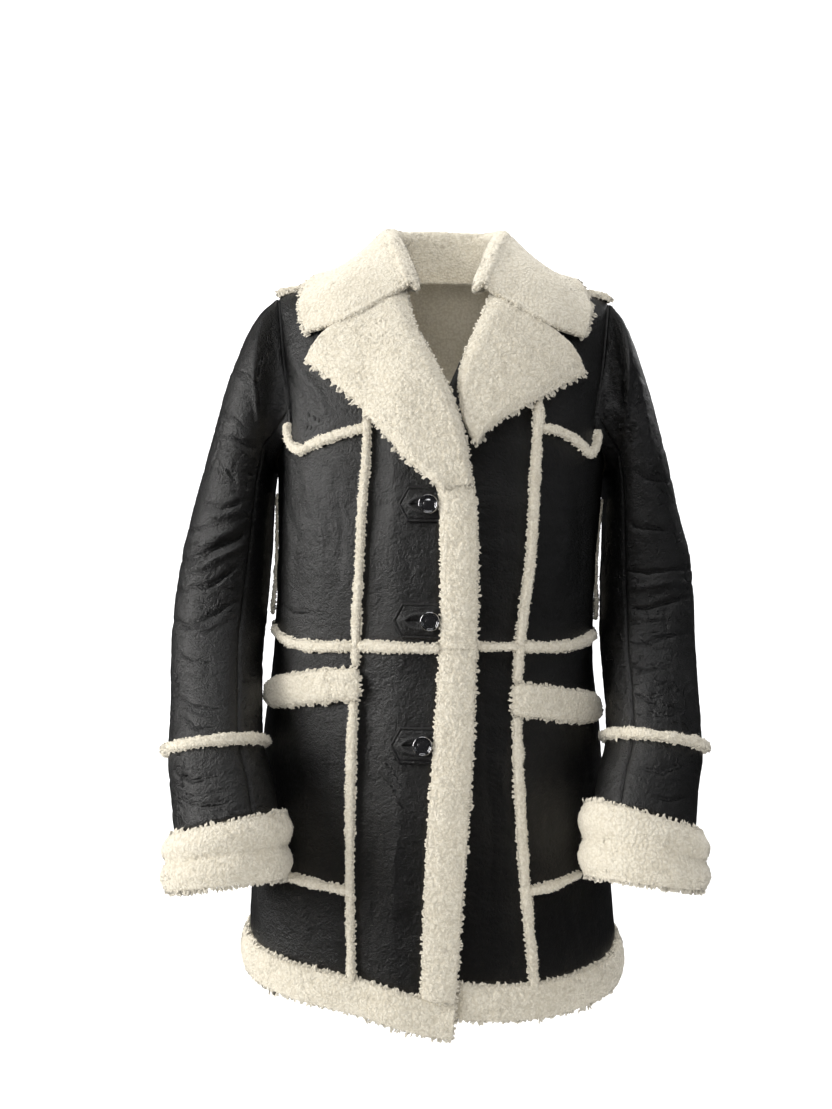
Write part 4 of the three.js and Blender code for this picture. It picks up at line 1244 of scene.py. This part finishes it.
def leather_material():
    shader = Shader("leather")
    place = shader.place()
    pebbles = shader.cells(place, 520.0, "SMOOTH_F1")
    grain = shader.noise(place, 1000.0, 3.0)
    wrinkles = shader.noise(place, 240.0, 5.0, 0.66)
    wide = shader.noise(place, 9.0, 2.0)
    patches = shader.band(shader.noise(place, 26.0, 2.0), 0.42, 0.62)
    flat = shader.stretched(place, (1.0, 1.0, 1.7))
    lines = shader.creases(flat, 75.0) * 0.6 + shader.creases(flat, 160.0) * 0.4
    fold = shader.band(shader.node("ShaderNodeAttribute", {"attribute_name": "fold"}, output=2), 0.25, 0.95)
    broken = fold * shader.band(shader.noise(flat, 150.0, 3.0), 0.3, 0.55)
    fine = pebbles * 0.75 + grain * 0.5
    normal = shader.bump(fine, 0.0007, 0.9)
    normal = shader.bump(wrinkles, 0.0021, 0.85, normal)
    normal = shader.bump(lines * patches, 0.0014, 0.4, normal)
    normal = shader.bump(1 - broken, 0.0045, 1.0, normal)
    shader.fill(shader.surface, {
        "Base Color": shader.colours(shader.band(wide, 0.3, 0.7), LEATHER_DARK, LEATHER_LIGHT),
        "Roughness": shader.band(wrinkles * 0.5 + wide * 0.5, 0.3, 0.7, 0.35, 0.47) + broken * 0.45,
        "Normal": normal,
        "Specular IOR Level": 0.85,
        "Coat Weight": 0.03,
        "Coat Roughness": 0.3,
    })
    return shader.material


def wool_material(name, light, shade, depth):
    shader = Shader(name)
    place = shader.place()
    curls = shader.noise(place, 300.0, 3.0, 0.6)
    patches = shader.noise(place, 38.0, 2.0)
    fibres = shader.noise(place, 1300.0, 2.0)
    nodules = 1 - shader.cells(shader.warped(place, 180.0, 0.004), 330.0)
    # Base colour: painted shade, darker in the gaps between the nodules and in the troughs of the curls,
    # lighter on their tops; the large patches are the wool's own tone, which differs at random.
    part = shader.band(nodules * 0.5 + curls * 0.25 + patches * 0.25, 0.36, 0.62)
    normal = shader.bump(fibres, 0.0004, 0.5)
    normal = shader.bump(nodules, depth, 0.8, normal)
    normal = shader.bump(curls, depth, 0.5, normal)
    shader.fill(shader.surface, {
        "Base Color": shader.colours(part, shade, light),
        "Roughness": shader.band(fibres, 0.2, 0.8, 0.92, 1.0),
        "Normal": normal,
        "Specular IOR Level": 0.15,
        "Sheen Weight": 0.2,
        "Sheen Roughness": 0.6,
    })
    return shader.material


def metal_material():
    shader = Shader("button_metal")
    place = shader.place()
    marks = shader.noise(place, 900.0, 3.0)
    shader.fill(shader.surface, {
        "Base Color": shader.colours(shader.band(marks, 0.3, 0.7), (0.44, 0.44, 0.46), (0.56, 0.56, 0.57)),
        "Metallic": 1.0,
        "Roughness": shader.band(marks, 0.3, 0.7, 0.08, 0.2),
        "Normal": shader.bump(marks, 0.00004, 0.4),
    })
    return shader.material


def thread_material():
    shader = Shader("thread")
    twist = shader.noise(shader.place(), 2600.0, 2.0)
    shader.fill(shader.surface, {
        # Colour: the thread's own dark grey, lighter on the raised crests of its twist as painted sheen.
        "Base Color": shader.colours(twist, (0.03, 0.03, 0.031), (0.11, 0.108, 0.105)),
        "Roughness": shader.band(twist, 0.2, 0.8, 0.45, 0.7),
        "Normal": shader.bump(twist, 0.0002, 0.6),
    })
    return shader.material


def stage_material():
    shader = Shader("studio")
    patches = shader.noise(shader.place(), 1.5, 1.0)
    shader.fill(shader.surface, {
        "Base Color": shader.colours(patches, (0.86, 0.86, 0.86), (0.88, 0.88, 0.88)),
        "Roughness": shader.band(patches, 0.0, 1.0, 0.85, 0.95),
    })
    return shader.material


MATERIALS = {
    "leather": leather_material(),
    # The second colour of each wool is the painted shade of its gaps; the tufts get a paler one.
    "wool": wool_material("wool", (0.78, 0.725, 0.60), (0.66, 0.60, 0.475), 0.0014),
    "wool_tufts": wool_material("wool_tufts", (0.79, 0.735, 0.61), (0.73, 0.67, 0.545), 0.0005),
    "metal": metal_material(),
    "thread": thread_material(),
}


# The coat

def make_fronts():
    for side in SIDES:
        number = 1 if side == "right" else 2
        centre = band_edge if side == "right" else front_edge["left"]
        yoke, waist, lower = (column(rows, number) for rows in (YOKE, WAIST_SEAM, LOWER_SEAM))
        side_seam = always(QUARTER)

        def band_top(first, last, side=side):
            def top(u):
                angle = mix(first(ABOVE_HEM), last(ABOVE_HEM), u)
                return hem_at(side, angle) + HEM_BAND + SEAM
            return top

        pieces = [
            ("centre_upper", centre, princess[side], always(waist(0.0)), always(0)),
            ("centre_lower", centre, princess[side], band_top(centre, princess[side]), always(waist(0.0))),
            ("yoke", princess[side], armhole, yoke, always(0)),
            ("side_upper", princess[side], armhole, waist, yoke),
            ("side_middle", princess[side], side_seam, lower, waist),
            ("side_lower", princess[side], side_seam, band_top(princess[side], side_seam), lower),
        ]
        for name, first, last, low, high in pieces:
            node = f"front_{side}_{name}"
            grid = panel(FRONT[side], first, last, low, high, LEATHER_STEP)
            leather_sheet(f"{node}_leather", *grid, [node])


def make_back():
    upper = panel(whole_body, back_side, back_other, back_waist, back_top, BACK_STEP)
    leather_sheet("back_upper_leather", *upper, ["back_upper"], thick=BACK_THICK)
    lower = panel(whole_body, always(QUARTER), always(3 * QUARTER),
                  lambda u: back_low(u) + HEM_BAND + SEAM, back_waist, BACK_STEP)
    leather_sheet("back_lower_leather", *lower, ["back_lower"])


def front_bottom(side):
    """Height of a front's lowest edge, by the part of the way from its front edge to the side seam."""
    return lambda u: hem_at(side, mix(front_edge[side](HEM_LEVEL), QUARTER, u))


def lining_sheet(name, points, normals):
    shown = points - normals * wool_relief(points, LINING_CURL, LINING_DEPTH)[..., None]
    rimmed(name, shown, normals, LINING_RIM, MATERIALS["wool"])


def make_lining():
    """The wool inside the body and the sleeves."""
    around = np.linspace(-math.pi, math.pi, 64)
    for side in SIDES:
        front = panel(FRONT[side], front_edge[side], inside_armhole, front_bottom(side), always(0),
                      LINING_STEP, LINING_OFFSET, fine=False)
        lining_sheet(f"lining_front_{side}", *front[:2])
        theta, place = np.meshgrid(around, np.linspace(LINING_START, SLEEVE_END, 84))
        sleeve = sleeve_points(sleeve_surface(side), theta, place, LINING_OFFSET)
        lining_sheet(f"lining_sleeve_{side}", *sleeve)
    back = panel(whole_body, back_side, back_other, back_low, lambda u: back_top(u) * LINING_RISE,
                 LINING_STEP, LINING_OFFSET, fine=False)
    lining_sheet("lining_back", *back[:2])


def oval(row, theta, sign):
    out_x, out_z, in_x, in_z, y, depth, tilt = row
    power = 2 / SLEEVE_ROUND
    cosine, sine = np.cos(theta), np.sin(theta)
    wide = np.sign(cosine) * np.abs(cosine) ** power
    deep = np.sign(sine) * np.abs(sine) ** power
    x = (out_x + in_x) / 2 + (out_x - in_x) / 2 * wide
    z = (out_z + in_z) / 2 + (out_z - in_z) / 2 * wide
    lean = tilt * DEGREE
    return np.stack([sign * x, y - depth * deep * math.cos(lean), z + depth * deep * math.sin(lean)], axis=-1)


def armhole_point(theta, side):
    height = UNDERARM * (1 - np.cos(theta)) / 2
    angle = np.where(np.sin(theta) > 0, armhole(height), math.pi - armhole(height))
    point = body_point(SIDES[side] * angle, height)
    point[..., 0] += SIDES[side] * SLEEVE_SEAM
    return point


def sleeve_surface(side):
    def at(theta, place):
        theta, place = np.broadcast_arrays(np.asarray(theta, float), np.asarray(place, float))
        sections = [armhole_point(theta, side)] + [oval(row, theta, SIDES[side]) for row in SLEEVE[side]]
        return np.einsum("...i,i...c->...c", weights(len(sections), place), np.stack(sections))

    return Surface(at, 0.01, 0.01, facing=SIDES[side])


def from_armhole(points):
    """Directions away from the middle of the armhole, level with the side."""
    radial = points - (0, 0, (UNDERARM - SHOULDER_DROP) / 2)
    radial[..., 0] = 0
    return unit(radial)


def sleeve_points(surface, theta, place, offset=0):
    points = surface.at(theta, place)
    direction = surface.normal(theta, np.maximum(place, FIRST_NORMAL))
    near = 1 - smooth(0, 1, place)[..., None]
    direction = unit(mix(direction, from_armhole(points), near))
    return points + direction * offset, direction


def make_armhole_tapes():
    """A narrow strip of leather below each armhole seam."""
    around, rows = 121, 5
    angles = np.linspace(-math.pi, math.pi, around)
    for side, sign in SIDES.items():
        theta, across = np.meshgrid(angles, np.linspace(-TAPE_HALF, TAPE_HALF, rows))
        middle = armhole_point(theta, side)
        points = middle - from_armhole(middle) * TAPE_DEEP + across[..., None] * (sign, 0, 0)
        piece = make(f"armhole_{side}_tape", points, grid_faces(rows, around), [MATERIALS["leather"]])


def make_sleeves(tufts):
    for side in SIDES:
        surface = sleeve_surface(side)
        for piece, start, end in (("top", BACK_SEAM, FRONT_SEAM), ("under", FRONT_SEAM, 360 + BACK_SEAM)):
            for part, first, last in (("upper", 0, SLEEVE_RING - SLEEVE_GAP),
                                      ("lower", SLEEVE_RING + SLEEVE_GAP, SLEEVE_END)):
                middle = (start + end) / 2 * DEGREE
                around = surface.at(np.linspace(start, end, 25) * DEGREE, np.full(25, (first + last) / 2))
                down = surface.at(np.full(25, middle), np.linspace(first, last, 25))
                lengths = [line_length(line) for line in (around, down)]
                u, v = np.meshgrid(spread(lengths[0], SLEEVE_STEP), spread(lengths[1], SLEEVE_STEP))
                place = mix(first, last, v)
                theta = mix(start, end, u) * DEGREE
                wide = np.linalg.norm(surface.slopes(theta, np.maximum(place, FIRST_NORMAL))[0], axis=-1)
                inset = SEAM / 2 / wide
                theta = mix(start * DEGREE + inset, end * DEGREE - inset, u)
                points, normals = sleeve_points(surface, theta, place)
                u_gap = np.minimum(u, 1 - u) * (end - start) * DEGREE * wide
                v_gap = np.minimum(v, 1 - v) * lengths[1]
                node = f"sleeve_{side}_{piece}_{part}"
                leather_sheet(f"{node}_leather", points, normals, u_gap, v_gap, [node], "draped", 1.0)

        def ring(part):
            return np.asarray(part) * 4 * QUARTER, np.full(np.shape(part), float(SLEEVE_RING))

        grid = strip(surface, ring, RING_LONG, always(STRIP_WIDTH), always(STRIP_HEIGHT), closed=True)
        trim(f"sleeve_trim_{side}", grid, tufts, *LONG_TRIM, name=f"sleeve_ring_{side}")


def make_cuffs(tufts):
    for side in SIDES:
        first, last = CUFF[side]

        def at(theta, place, first=first, last=last, side=side):
            part = np.asarray(place, float)[..., None]
            return mix(oval(first, theta, SIDES[side]), oval(last, theta, SIDES[side]), part)

        surface = Surface(at, 0.01, 0.01, facing=SIDES[side])
        raised, puff = column(CUFF_RAISE, 1), column(CUFF_PUFF, 1)
        theta, place = np.meshgrid(np.linspace(0, 2 * math.pi, CUFF_GRID[0], endpoint=False),
                                   np.linspace(0, 1, CUFF_GRID[1]))
        outer = surface.point(theta, place, raised(place) + puff(place))
        inner = surface.point(theta, place, CUFF_INNER)
        normals = surface.normal(theta, place)
        relief = wool_relief(outer)[..., None]
        piece = two_sided(f"cuff_{side}_wool", outer + normals * relief, inner - normals * relief * 0.5,
                          [MATERIALS["wool"]], closed=True)
        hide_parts(f"cuff_{side}")
        shown = np.concatenate([outer, outer[:, :1]], axis=1)
        turned = np.concatenate([normals, normals[:, :1]], axis=1)
        tufts.over(shown, turned, length=3.2)
        for row, other in ((0, 1), (-1, -2)):
            for depth in CUFF_ROWS:
                line = shown[row] - turned[row] * depth
                tufts.edge(line, shown[row] - shown[other], turned[row], length=6.4, spacing=1.9)


def make_bands(tufts):
    """The front band, and the bands of the hem."""
    edge = front_edge["right"]

    def raised(u, _, base):
        return BAND_RAISE * smooth(BAND_TOP, BAND_FULL, base[..., 2]) * round_over(u)

    def low(u):
        return hem_at("right", mix(edge(HEM_LEVEL), band_edge(HEM_LEVEL), u)) + HEM_BAND + SEAM

    for name, bottom, top, ends in (("upper", always(WAIST), always(0), 0), ("lower", low, always(WAIST), 3)):
        points, normals = panel(right_front, edge, band_edge, bottom, top, WOOL_STEP, raised, fine=False)[:2]
        wool_sheet(f"front_band_{name}_wool", points, normals, BAND_DEEP, [f"front_band_{name}"],
                   tufts["band"], length=3.0, edges=(ends, ends, 5, 4),
                   curly=np.linspace(CURLY_EDGE, CURLY_BESIDE, points.shape[1])[None])
    for side in SIDES:
        bottom = front_bottom(side)

        def thick(_, v, base, side=side):
            shown = smooth(HEM_SHOWS, HEM_FULL, base[..., 0]) if side == "left" else 1
            return BAND_RAISE * round_over(v) * shown

        grid = panel(FRONT[side], front_edge[side], always(QUARTER), bottom,
                     lambda u, bottom=bottom: bottom(u) + HEM_BAND, WOOL_STEP, thick, fine=False)
        wool_sheet(f"hem_{side}_wool", *grid[:2], HEM_DEEP, [f"hem_{side}"], tufts["hem"], edges=HEM_TUFTS)

    grid = panel(whole_body, always(QUARTER), always(3 * QUARTER), back_low,
                 lambda u: back_low(u) + HEM_BAND, HEM_BACK_STEP,
                 lambda _, v, base: BAND_RAISE * round_over(v), fine=False)
    wool_sheet("hem_back_wool", *grid[:2], HEM_DEEP, ["hem_back"], tufts["hem"], edges=HEM_TUFTS,
               spacing=HEM_BACK_SPACING)


def make_lapels(tufts):
    profile = column(LAPEL_PROFILE, 1)
    for side in SIDES:
        roll_x, roll_z, out_x, out_z = (column(LAPEL[side], number) for number in (1, 2, 3, 4))
        u, part = np.meshgrid(np.linspace(0, 1, LAPEL_GRID[0]), np.linspace(0, 1, LAPEL_GRID[1]))
        row = part * LAPEL_LAST
        outward = mix(roll_x(row), out_x(row), u)
        height = height_at(outward, mix(roll_z(row), out_z(row), u))
        rim = mix(LAPEL_ENDS, 1, smooth(1, 0.9, part))
        angle = angle_at(side, outward, height)
        points = FRONT[side].point(angle, height, LAPEL_BASE + LAPEL_THICK * profile(u) * rim - 1)
        upward = unit(points[0] - points[3])[None]
        points = points + upward * (LAPEL_UNDER * smooth(0.16, 0, part) * smooth(1.0, 0.7, u))[..., None]
        normals = grid_normals(points, FRONT[side].normal(angle, height))
        wool_sheet(f"lapel_{side}_wool", points, normals, LAPEL_THICK * 0.5, [f"lapel_{side}"], tufts,
                   length=2.9, edges=(0, 5, 4, 7))


def collar_stations():
    half = []
    for number, (base, roll, middle, edge) in enumerate(COLLAR):
        back = number >= COLLAR_BACK_ROW

        def on_body(place, offset, back=back):
            x, level = place
            if back:
                height = UNDERARM * (1 - level)
                angle = math.pi - angle_at("left", x, height)
            else:
                height = min(float(height_at(x, level)), BODY_STEPS["v_top"])
                angle = angle_at("left", x, height)
            return whole_body.point(float(angle), float(height), offset)

        top, start = np.array(roll, float), np.array(base, float)
        end = on_body(edge, COLLAR_THICK / 2 + COLLAR_EDGE_OVER)
        outward = unit((end - start) * (1, 1, 0))
        drop = np.array((0, 0, COLLAR_ROLL_DROP))
        rolled = [top - outward * COLLAR_ROLL - drop, top, top + outward * COLLAR_ROLL - drop]
        half.append([start, *rolled, on_body(middle, COLLAR_THICK / 2 + COLLAR_MIDDLE_OVER), end])
    half = np.array(half)
    return np.concatenate([half[:-1] * (-1, 1, 1), half[::-1]])


def make_collar(tufts):
    stations = collar_stations()
    count, places = stations.shape[:2]

    def at(u, v):
        u, v = np.broadcast_arrays(np.asarray(u, float), np.asarray(v, float))
        return np.einsum("...i,...j,ijc->...c", weights(count, u), weights(places, v), stations)

    surface = Surface(at, 0.01, 0.01)
    v, u = np.meshgrid(np.linspace(0, places - 1, COLLAR_GRID[0]), np.linspace(0, count - 1, COLLAR_GRID[1]))
    near_end = np.minimum(u, count - 1 - u)
    half = COLLAR_THICK / 2 * mix(COLLAR_ENDS, 1, smooth(0, 0.25, near_end))
    outer, inner = surface.point(u, v, half), surface.point(u, v, -half)
    normals = surface.normal(u, v)
    relief = wool_relief(outer)[..., None]
    piece = two_sided("collar_wool", outer + normals * relief, inner,
                      [MATERIALS["wool"], MATERIALS["leather"]])
    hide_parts("collar")
    tufts.over(outer, normals)
    rolled = slice(*(int(place * outer.shape[1] / (places - 1)) for place in ROLL_ROWS))
    tufts.over(outer[:, rolled], normals[:, rolled], spacing=2.8, length=3.5, lean=0.9)
    for depth in COLLAR_ROWS:
        tufts.edge(outer[:, -1] - normals[:, -1] * depth, outer[:, -1] - outer[:, -2], normals[:, -1],
                   length=6.8, spacing=1.8)
    tufts.edge(outer[:, 0], outer[:, 0] - outer[:, 1], normals[:, 0], length=6.0)
    for end, other in ((0, 1), (-1, -2)):
        tufts.edge(outer[end], outer[end] - outer[other], normals[end])


def trim(node, grid, tufts, length, edges, deep=STRIP_DEEP, name=None):
    """A wool strip in the place of a node, with a rim that turns in by deep."""
    wool_sheet(f"{name or node}_wool", *grid, deep, [node], tufts, length=length, edges=edges)


def make_trims(tufts):
    """The wool strips over the seams, and the pocket flaps."""
    for side in SIDES:
        surface = FRONT[side]
        low = float(hem_at(side, princess[side](PRINCESS_LOW))) + HEM_BAND + HEM_CLEAR
        high = float(height_at(PRINCESS_X, PRINCESS_HIGH[side]))
        for piece, start, end in (("lower", low - STRIP_REACH - HEM_CLEAR, FLAP_BOTTOM[side] + STRIP_REACH),
                                  ("upper", FLAP_TOP[side] - STRIP_REACH, high + UNDER_LAPEL)):
            def path(part, start=start, end=end, side=side):
                height = mix(start, end, np.asarray(part, float))
                return princess[side](height), height

            grid = strip(surface, path, end - start, always(PRINCESS_WIDTH[side]), always(STRIP_HEIGHT))
            trim(f"princess_trim_{side}_{piece}", grid, tufts, 3.0, STRIP_TUFTS,
                 name=f"princess_{side}_{piece}")
        strips = [
            ("yoke_trim_{}", YOKE_PATH, YOKE_WIDTH, 0),
            ("waist_trim_{}", WAIST_PATH, STRIP_WIDTH, 0),
            ("waist_trim_{}_centre", WAIST_CENTRE_PATH, WAIST_CENTRE_WIDTH[side], STRIP_REACH),
            ("lower_trim_{}", LOWER_PATH, THIN_WIDTH, 0),
        ]
        for pattern, rows, width, after in strips:
            node = pattern.format(side)
            path, length = route(side, rows[side], STRIP_REACH, after)
            grid = strip(surface, path, length, always(width), always(STRIP_HEIGHT))
            trim(node, grid, tufts, 3.0, STRIP_TUFTS)

        path, length = route(side, FLAP_PATH[side], after=FLAP_REACH[side])
        grid = strip(surface, path, length,
                     lambda part: FLAP_WIDTH * (1 - FLAP_NARROWS * smooth(0.85, 1, part)),
                     lambda part: FLAP_HEIGHT + FLAP_SWELL * smooth(0, 0.2, part), ragged=FLAP_UNEVEN)
        trim(f"pocket_flap_{side}", grid, tufts, 3.0, 5.5, FLAP_DEEP)

        def side_path(part):
            return np.full(np.shape(part), SIDE_ANGLE), mix(SIDE_LOW, SIDE_HIGH, np.asarray(part, float))

        grid = strip(surface, side_path, SIDE_HIGH - SIDE_LOW, always(THIN_WIDTH),
                     lambda part: mix(*SIDE_HEIGHT, smooth(0, 0.5, part)))
        trim(f"side_trim_{side}", grid, tufts, 2.8, 2.6, SIDE_DEEP)

        def ridge_point(x, y, side=side):
            x, y = np.broadcast_arrays(np.asarray(x, float), np.asarray(y, float))
            return np.stack([SIDES[side] * x, y, shoulder_top(x)], axis=-1)

        ridge = Surface(ridge_point, 1, 1, facing=SIDES[side])

        def ridge_path(part):
            return mix(SHOULDER_FROM, SHOULDER_TO, np.asarray(part, float)), np.zeros(np.shape(part))

        grid = strip(ridge, ridge_path, SHOULDER_TO - SHOULDER_FROM, always(SHOULDER_WIDTH),
                     always(SHOULDER_HEIGHT))
        trim(f"shoulder_trim_{side}", grid, tufts, *LONG_TRIM, SHOULDER_DEEP)

    def back_path(part):
        part = np.asarray(part, float)
        return mix(BACK_WAIST_FROM, BACK_WAIST_TO, part) * DEGREE, back_waist(part)

    grid = strip(whole_body, back_path, BACK_WAIST_LONG, always(STRIP_WIDTH), always(STRIP_HEIGHT),
                 step=BACK_WAIST_STEP)
    trim("waist_trim_back", grid, tufts, *LONG_TRIM)


def capsules(name, middles, runs, ups, length, radius, material):
    """Short round-ended stitches at given middles, along given directions."""
    rings, sides = 5, 6
    part = np.linspace(-1, 1, rings)
    thick = np.sqrt(np.maximum(1 - np.abs(part) ** 3, 0.04))
    angle = np.linspace(0, 2 * math.pi, sides, endpoint=False)
    side = np.cross(runs, ups)
    points = (
        middles[:, None, None] + runs[:, None, None] * (part[:, None, None] * length / 2)
        + side[:, None, None] * (thick[:, None] * np.cos(angle))[..., None] * radius
        + ups[:, None, None] * (thick[:, None] * np.sin(angle))[..., None] * radius * 0.8
    )
    faces = grid_faces(rings, sides, closed=True)
    everything = (np.arange(len(middles))[:, None, None] * rings * sides + faces).reshape(-1, 4)
    return make(name, points, everything, [material])


def patch_place(index, place, u):
    """A place on a buttonhole patch: place runs up it, u from the band to its tip."""
    height = BUTTON_Z[index] + np.asarray(place) * PATCH_HALF
    tip = PATCH_TIP[index] - PATCH_POINT * np.abs(place)
    start = band_edge(height) + PATCH_BESIDE
    return mix(start, angle_at("right", tip, height), u), height


def make_patches():
    for index in range(3):
        u, place = np.meshgrid(np.linspace(0, 1, 60), np.linspace(-1, 1, 49))
        angle, height = patch_place(index, place, u)
        reach = np.minimum((1 - u) * 40, (1 - np.abs(place)) * PATCH_HALF)
        rim = smooth(0, 1.2, reach)
        groove = np.exp(-((reach - 3.2) / 0.8) ** 2)
        hole_x = (u - HOLE_MIDDLE) / HOLE_HALF[0]
        hole = hole_x ** 2 + (place / HOLE_HALF[1]) ** 2
        welt = np.exp(-((np.sqrt(hole) - 1) / 0.22) ** 2)
        slit = np.exp(-(place * PATCH_HALF / 1.0) ** 2) * smooth(1.0, 0.8, np.abs(hole_x))
        lift = REST + PATCH_THICK * mix(0.1, 1, rim) - 1.2 * groove + 1.1 * welt - 1.6 * slit
        lift += 0.2 * noise(np.stack([u * 40, place * 18, u * 0 + index * 50], axis=-1), 5, SEED + 60)
        points = right_front.point(angle, height, lift)
        normals = right_front.normal(angle, height)
        piece = rimmed(f"patch_{index + 1}_leather", points, normals, 1.0, MATERIALS["leather"])
        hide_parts(f"buttonhole_patch_{index + 1}")
        flat, area = sheet_size(points)

        turn = np.linspace(0, 2 * math.pi, 34, endpoint=False)
        eye_u, eye_v = HOLE_MIDDLE + HOLE_HALF[0] * np.cos(turn), HOLE_HALF[1] * np.sin(turn)
        keep = eye_u > STITCHES_FROM
        angle, height = patch_place(index, eye_v[keep], eye_u[keep])
        middles = right_front.point(angle, height, STITCH_LIFT)
        ups = right_front.normal(angle, height)
        runs = middles - right_front.point(*patch_place(index, 0.0, HOLE_MIDDLE), STITCH_LIFT)
        runs = unit(runs - ups * (runs * ups).sum(axis=-1, keepdims=True))
        stitches = capsules(f"patch_{index + 1}_stitches", middles, runs, ups, STITCH_LONG, STITCH_RADIUS,
                            MATERIALS["thread"])


def make_buttons():
    """Ring buttons with a dished face and a low dome in the middle."""
    turns = 56
    angle = np.linspace(0, 2 * math.pi, turns, endpoint=False)
    for index, z in enumerate(BUTTON_Z):
        place = float(band_edge(z)) + (BUTTON_RADIUS + BUTTON_BESIDE) / (float(front_depth(z)) + LAP)
        middle = right_front.point(place, float(z), REST + PATCH_THICK + BUTTON_SEAT)
        up = right_front.normal(place, float(z))
        side = unit(np.cross(up, (0, 0, 1)))
        other = np.cross(up, side)
        radius, height = np.array(BUTTON_OUTLINE, float).T * [[BUTTON_RADIUS], [BUTTON_THICK]]
        radius = np.maximum(radius, 0.02)
        rim = side * np.cos(angle)[:, None] + other * np.sin(angle)[:, None]
        points = middle + rim[None] * radius[:, None, None] + up * height[:, None, None]
        piece = make(f"ring_button_{index + 1}", points, grid_faces(len(BUTTON_OUTLINE), turns, closed=True),
                     [MATERIALS["metal"]])
        smoother = piece.modifiers.new("smoother", "SUBSURF")
        smoother.levels = smoother.render_levels = 1
        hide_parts(f"button_{index + 1}")


# Camera, light and floor: the light of the surroundings, and what gloss mirrors of it

AROUND = 0.31
AROUND_GLOSSY = 0.03


def make_stage():
    """A pale floor that curves up into a backdrop."""
    floor_z, depth, high, bend = -1.25, 2.4, 3.0, 0.9
    profile = [(-4.0, floor_z), (depth - bend, floor_z)]
    profile += [(depth - bend + bend * math.sin(t), floor_z + bend - bend * math.cos(t))
                for t in np.linspace(0.1, QUARTER, 12)]
    profile.append((depth, high))
    points = [(x, y, z) for x in (-6.0, 6.0) for y, z in profile]
    count = len(profile)
    faces = [(k, k + 1, k + 1 + count, k + count) for k in range(count - 1)]
    mesh = bpy.data.meshes.new("floor")
    mesh.from_pydata(points, [], faces)
    mesh.materials.append(stage_material())
    mesh.shade_smooth()
    floor = bpy.data.objects.new("floor", mesh)
    bpy.context.scene.collection.objects.link(floor)
    floor.visible_glossy = False


def make_light(name, place, target, size, power, colour=(1, 1, 1), glossy=True):
    lamp = bpy.data.lights.new(name, "AREA")
    lamp.shape = "RECTANGLE"
    lamp.size, lamp.size_y = size
    lamp.energy, lamp.color = power, colour
    light = bpy.data.objects.new(name, lamp)
    light.location = place
    light.visible_glossy = glossy
    direction = Vector(target) - Vector(place)
    light.rotation_euler = direction.to_track_quat("-Z", "Y").to_euler()
    bpy.context.scene.collection.objects.link(light)


def make_lights():
    middle = (0, -0.05, -0.4)
    make_light("window", (-3.1, -1.0, 0.45), middle, (1.5, 2.2), 92, (1.0, 0.985, 0.96))
    make_light("front", (-0.5, -3.4, 1.1), middle, (2.4, 1.0), 33, glossy=False)
    make_light("above", (-0.1, -0.7, 2.0), middle, (2.0, 1.4), 18)
    make_light("right", (2.6, -1.2, 0.3), middle, (0.8, 1.4), 4, (0.96, 0.98, 1.0))
    make_light("behind", (1.6, 2.2, 1.2), middle, (1.4, 1.4), 10)
    make_light("backdrop_light", (0, 0.9, 1.7), (0, 2.4, -0.4), (3.5, 0.6), 95, glossy=False)
    world = bpy.data.worlds.new("studio")
    world.use_nodes = True
    nodes, links = world.node_tree.nodes, world.node_tree.links
    background = nodes["Background"]
    background.inputs["Color"].default_value = (0.96, 0.96, 1.0, 1)
    path, strength = nodes.new("ShaderNodeLightPath"), nodes.new("ShaderNodeMapRange")
    strength.inputs["To Min"].default_value, strength.inputs["To Max"].default_value = AROUND, AROUND_GLOSSY
    links.new(path.outputs["Is Glossy Ray"], strength.inputs["Value"])
    links.new(strength.outputs["Result"], background.inputs["Strength"])
    bpy.context.scene.world = world


def make_camera():
    data = bpy.data.cameras.new("camera")
    data.sensor_width = SENSOR
    data.lens = FOCAL / PICTURE_HIGH * SENSOR
    data.clip_start, data.clip_end = 0.05, 30
    camera = bpy.data.objects.new("camera", data)
    right = Vector((math.cos(ROLL), 0, math.sin(ROLL)))
    up = Vector((-math.sin(ROLL), 0, math.cos(ROLL)))
    back = Vector((0, -1, 0))
    turn = Matrix((right, up, back)).transposed().to_4x4()
    camera.matrix_world = Matrix.Translation(Vector(EYE) * MM) @ turn
    bpy.context.scene.collection.objects.link(camera)
    bpy.context.scene.camera = camera


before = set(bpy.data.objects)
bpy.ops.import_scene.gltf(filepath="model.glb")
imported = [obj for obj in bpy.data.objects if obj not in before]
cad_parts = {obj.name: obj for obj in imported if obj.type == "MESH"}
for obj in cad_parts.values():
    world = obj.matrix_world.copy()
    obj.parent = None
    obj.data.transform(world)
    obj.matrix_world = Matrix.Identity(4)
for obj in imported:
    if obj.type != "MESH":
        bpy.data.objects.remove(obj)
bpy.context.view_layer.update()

make_camera()
make_stage()
make_lights()
make_fronts()
make_back()
make_lining()
tufts = {name: Tufts(f"{name}_tufts", SEED + number)
         for number, name in enumerate(("collar", "lapel", "band", "hem", "cuff", "trim"))}
make_sleeves(tufts["trim"])
make_armhole_tapes()
make_cuffs(tufts["cuff"])
make_bands(tufts)
make_lapels(tufts["lapel"])
make_collar(tufts["collar"])
make_trims(tufts["trim"])
for group in tufts.values():
    group.finish()
make_patches()
make_buttons()

bpy.context.scene.view_settings.view_transform = "Standard"
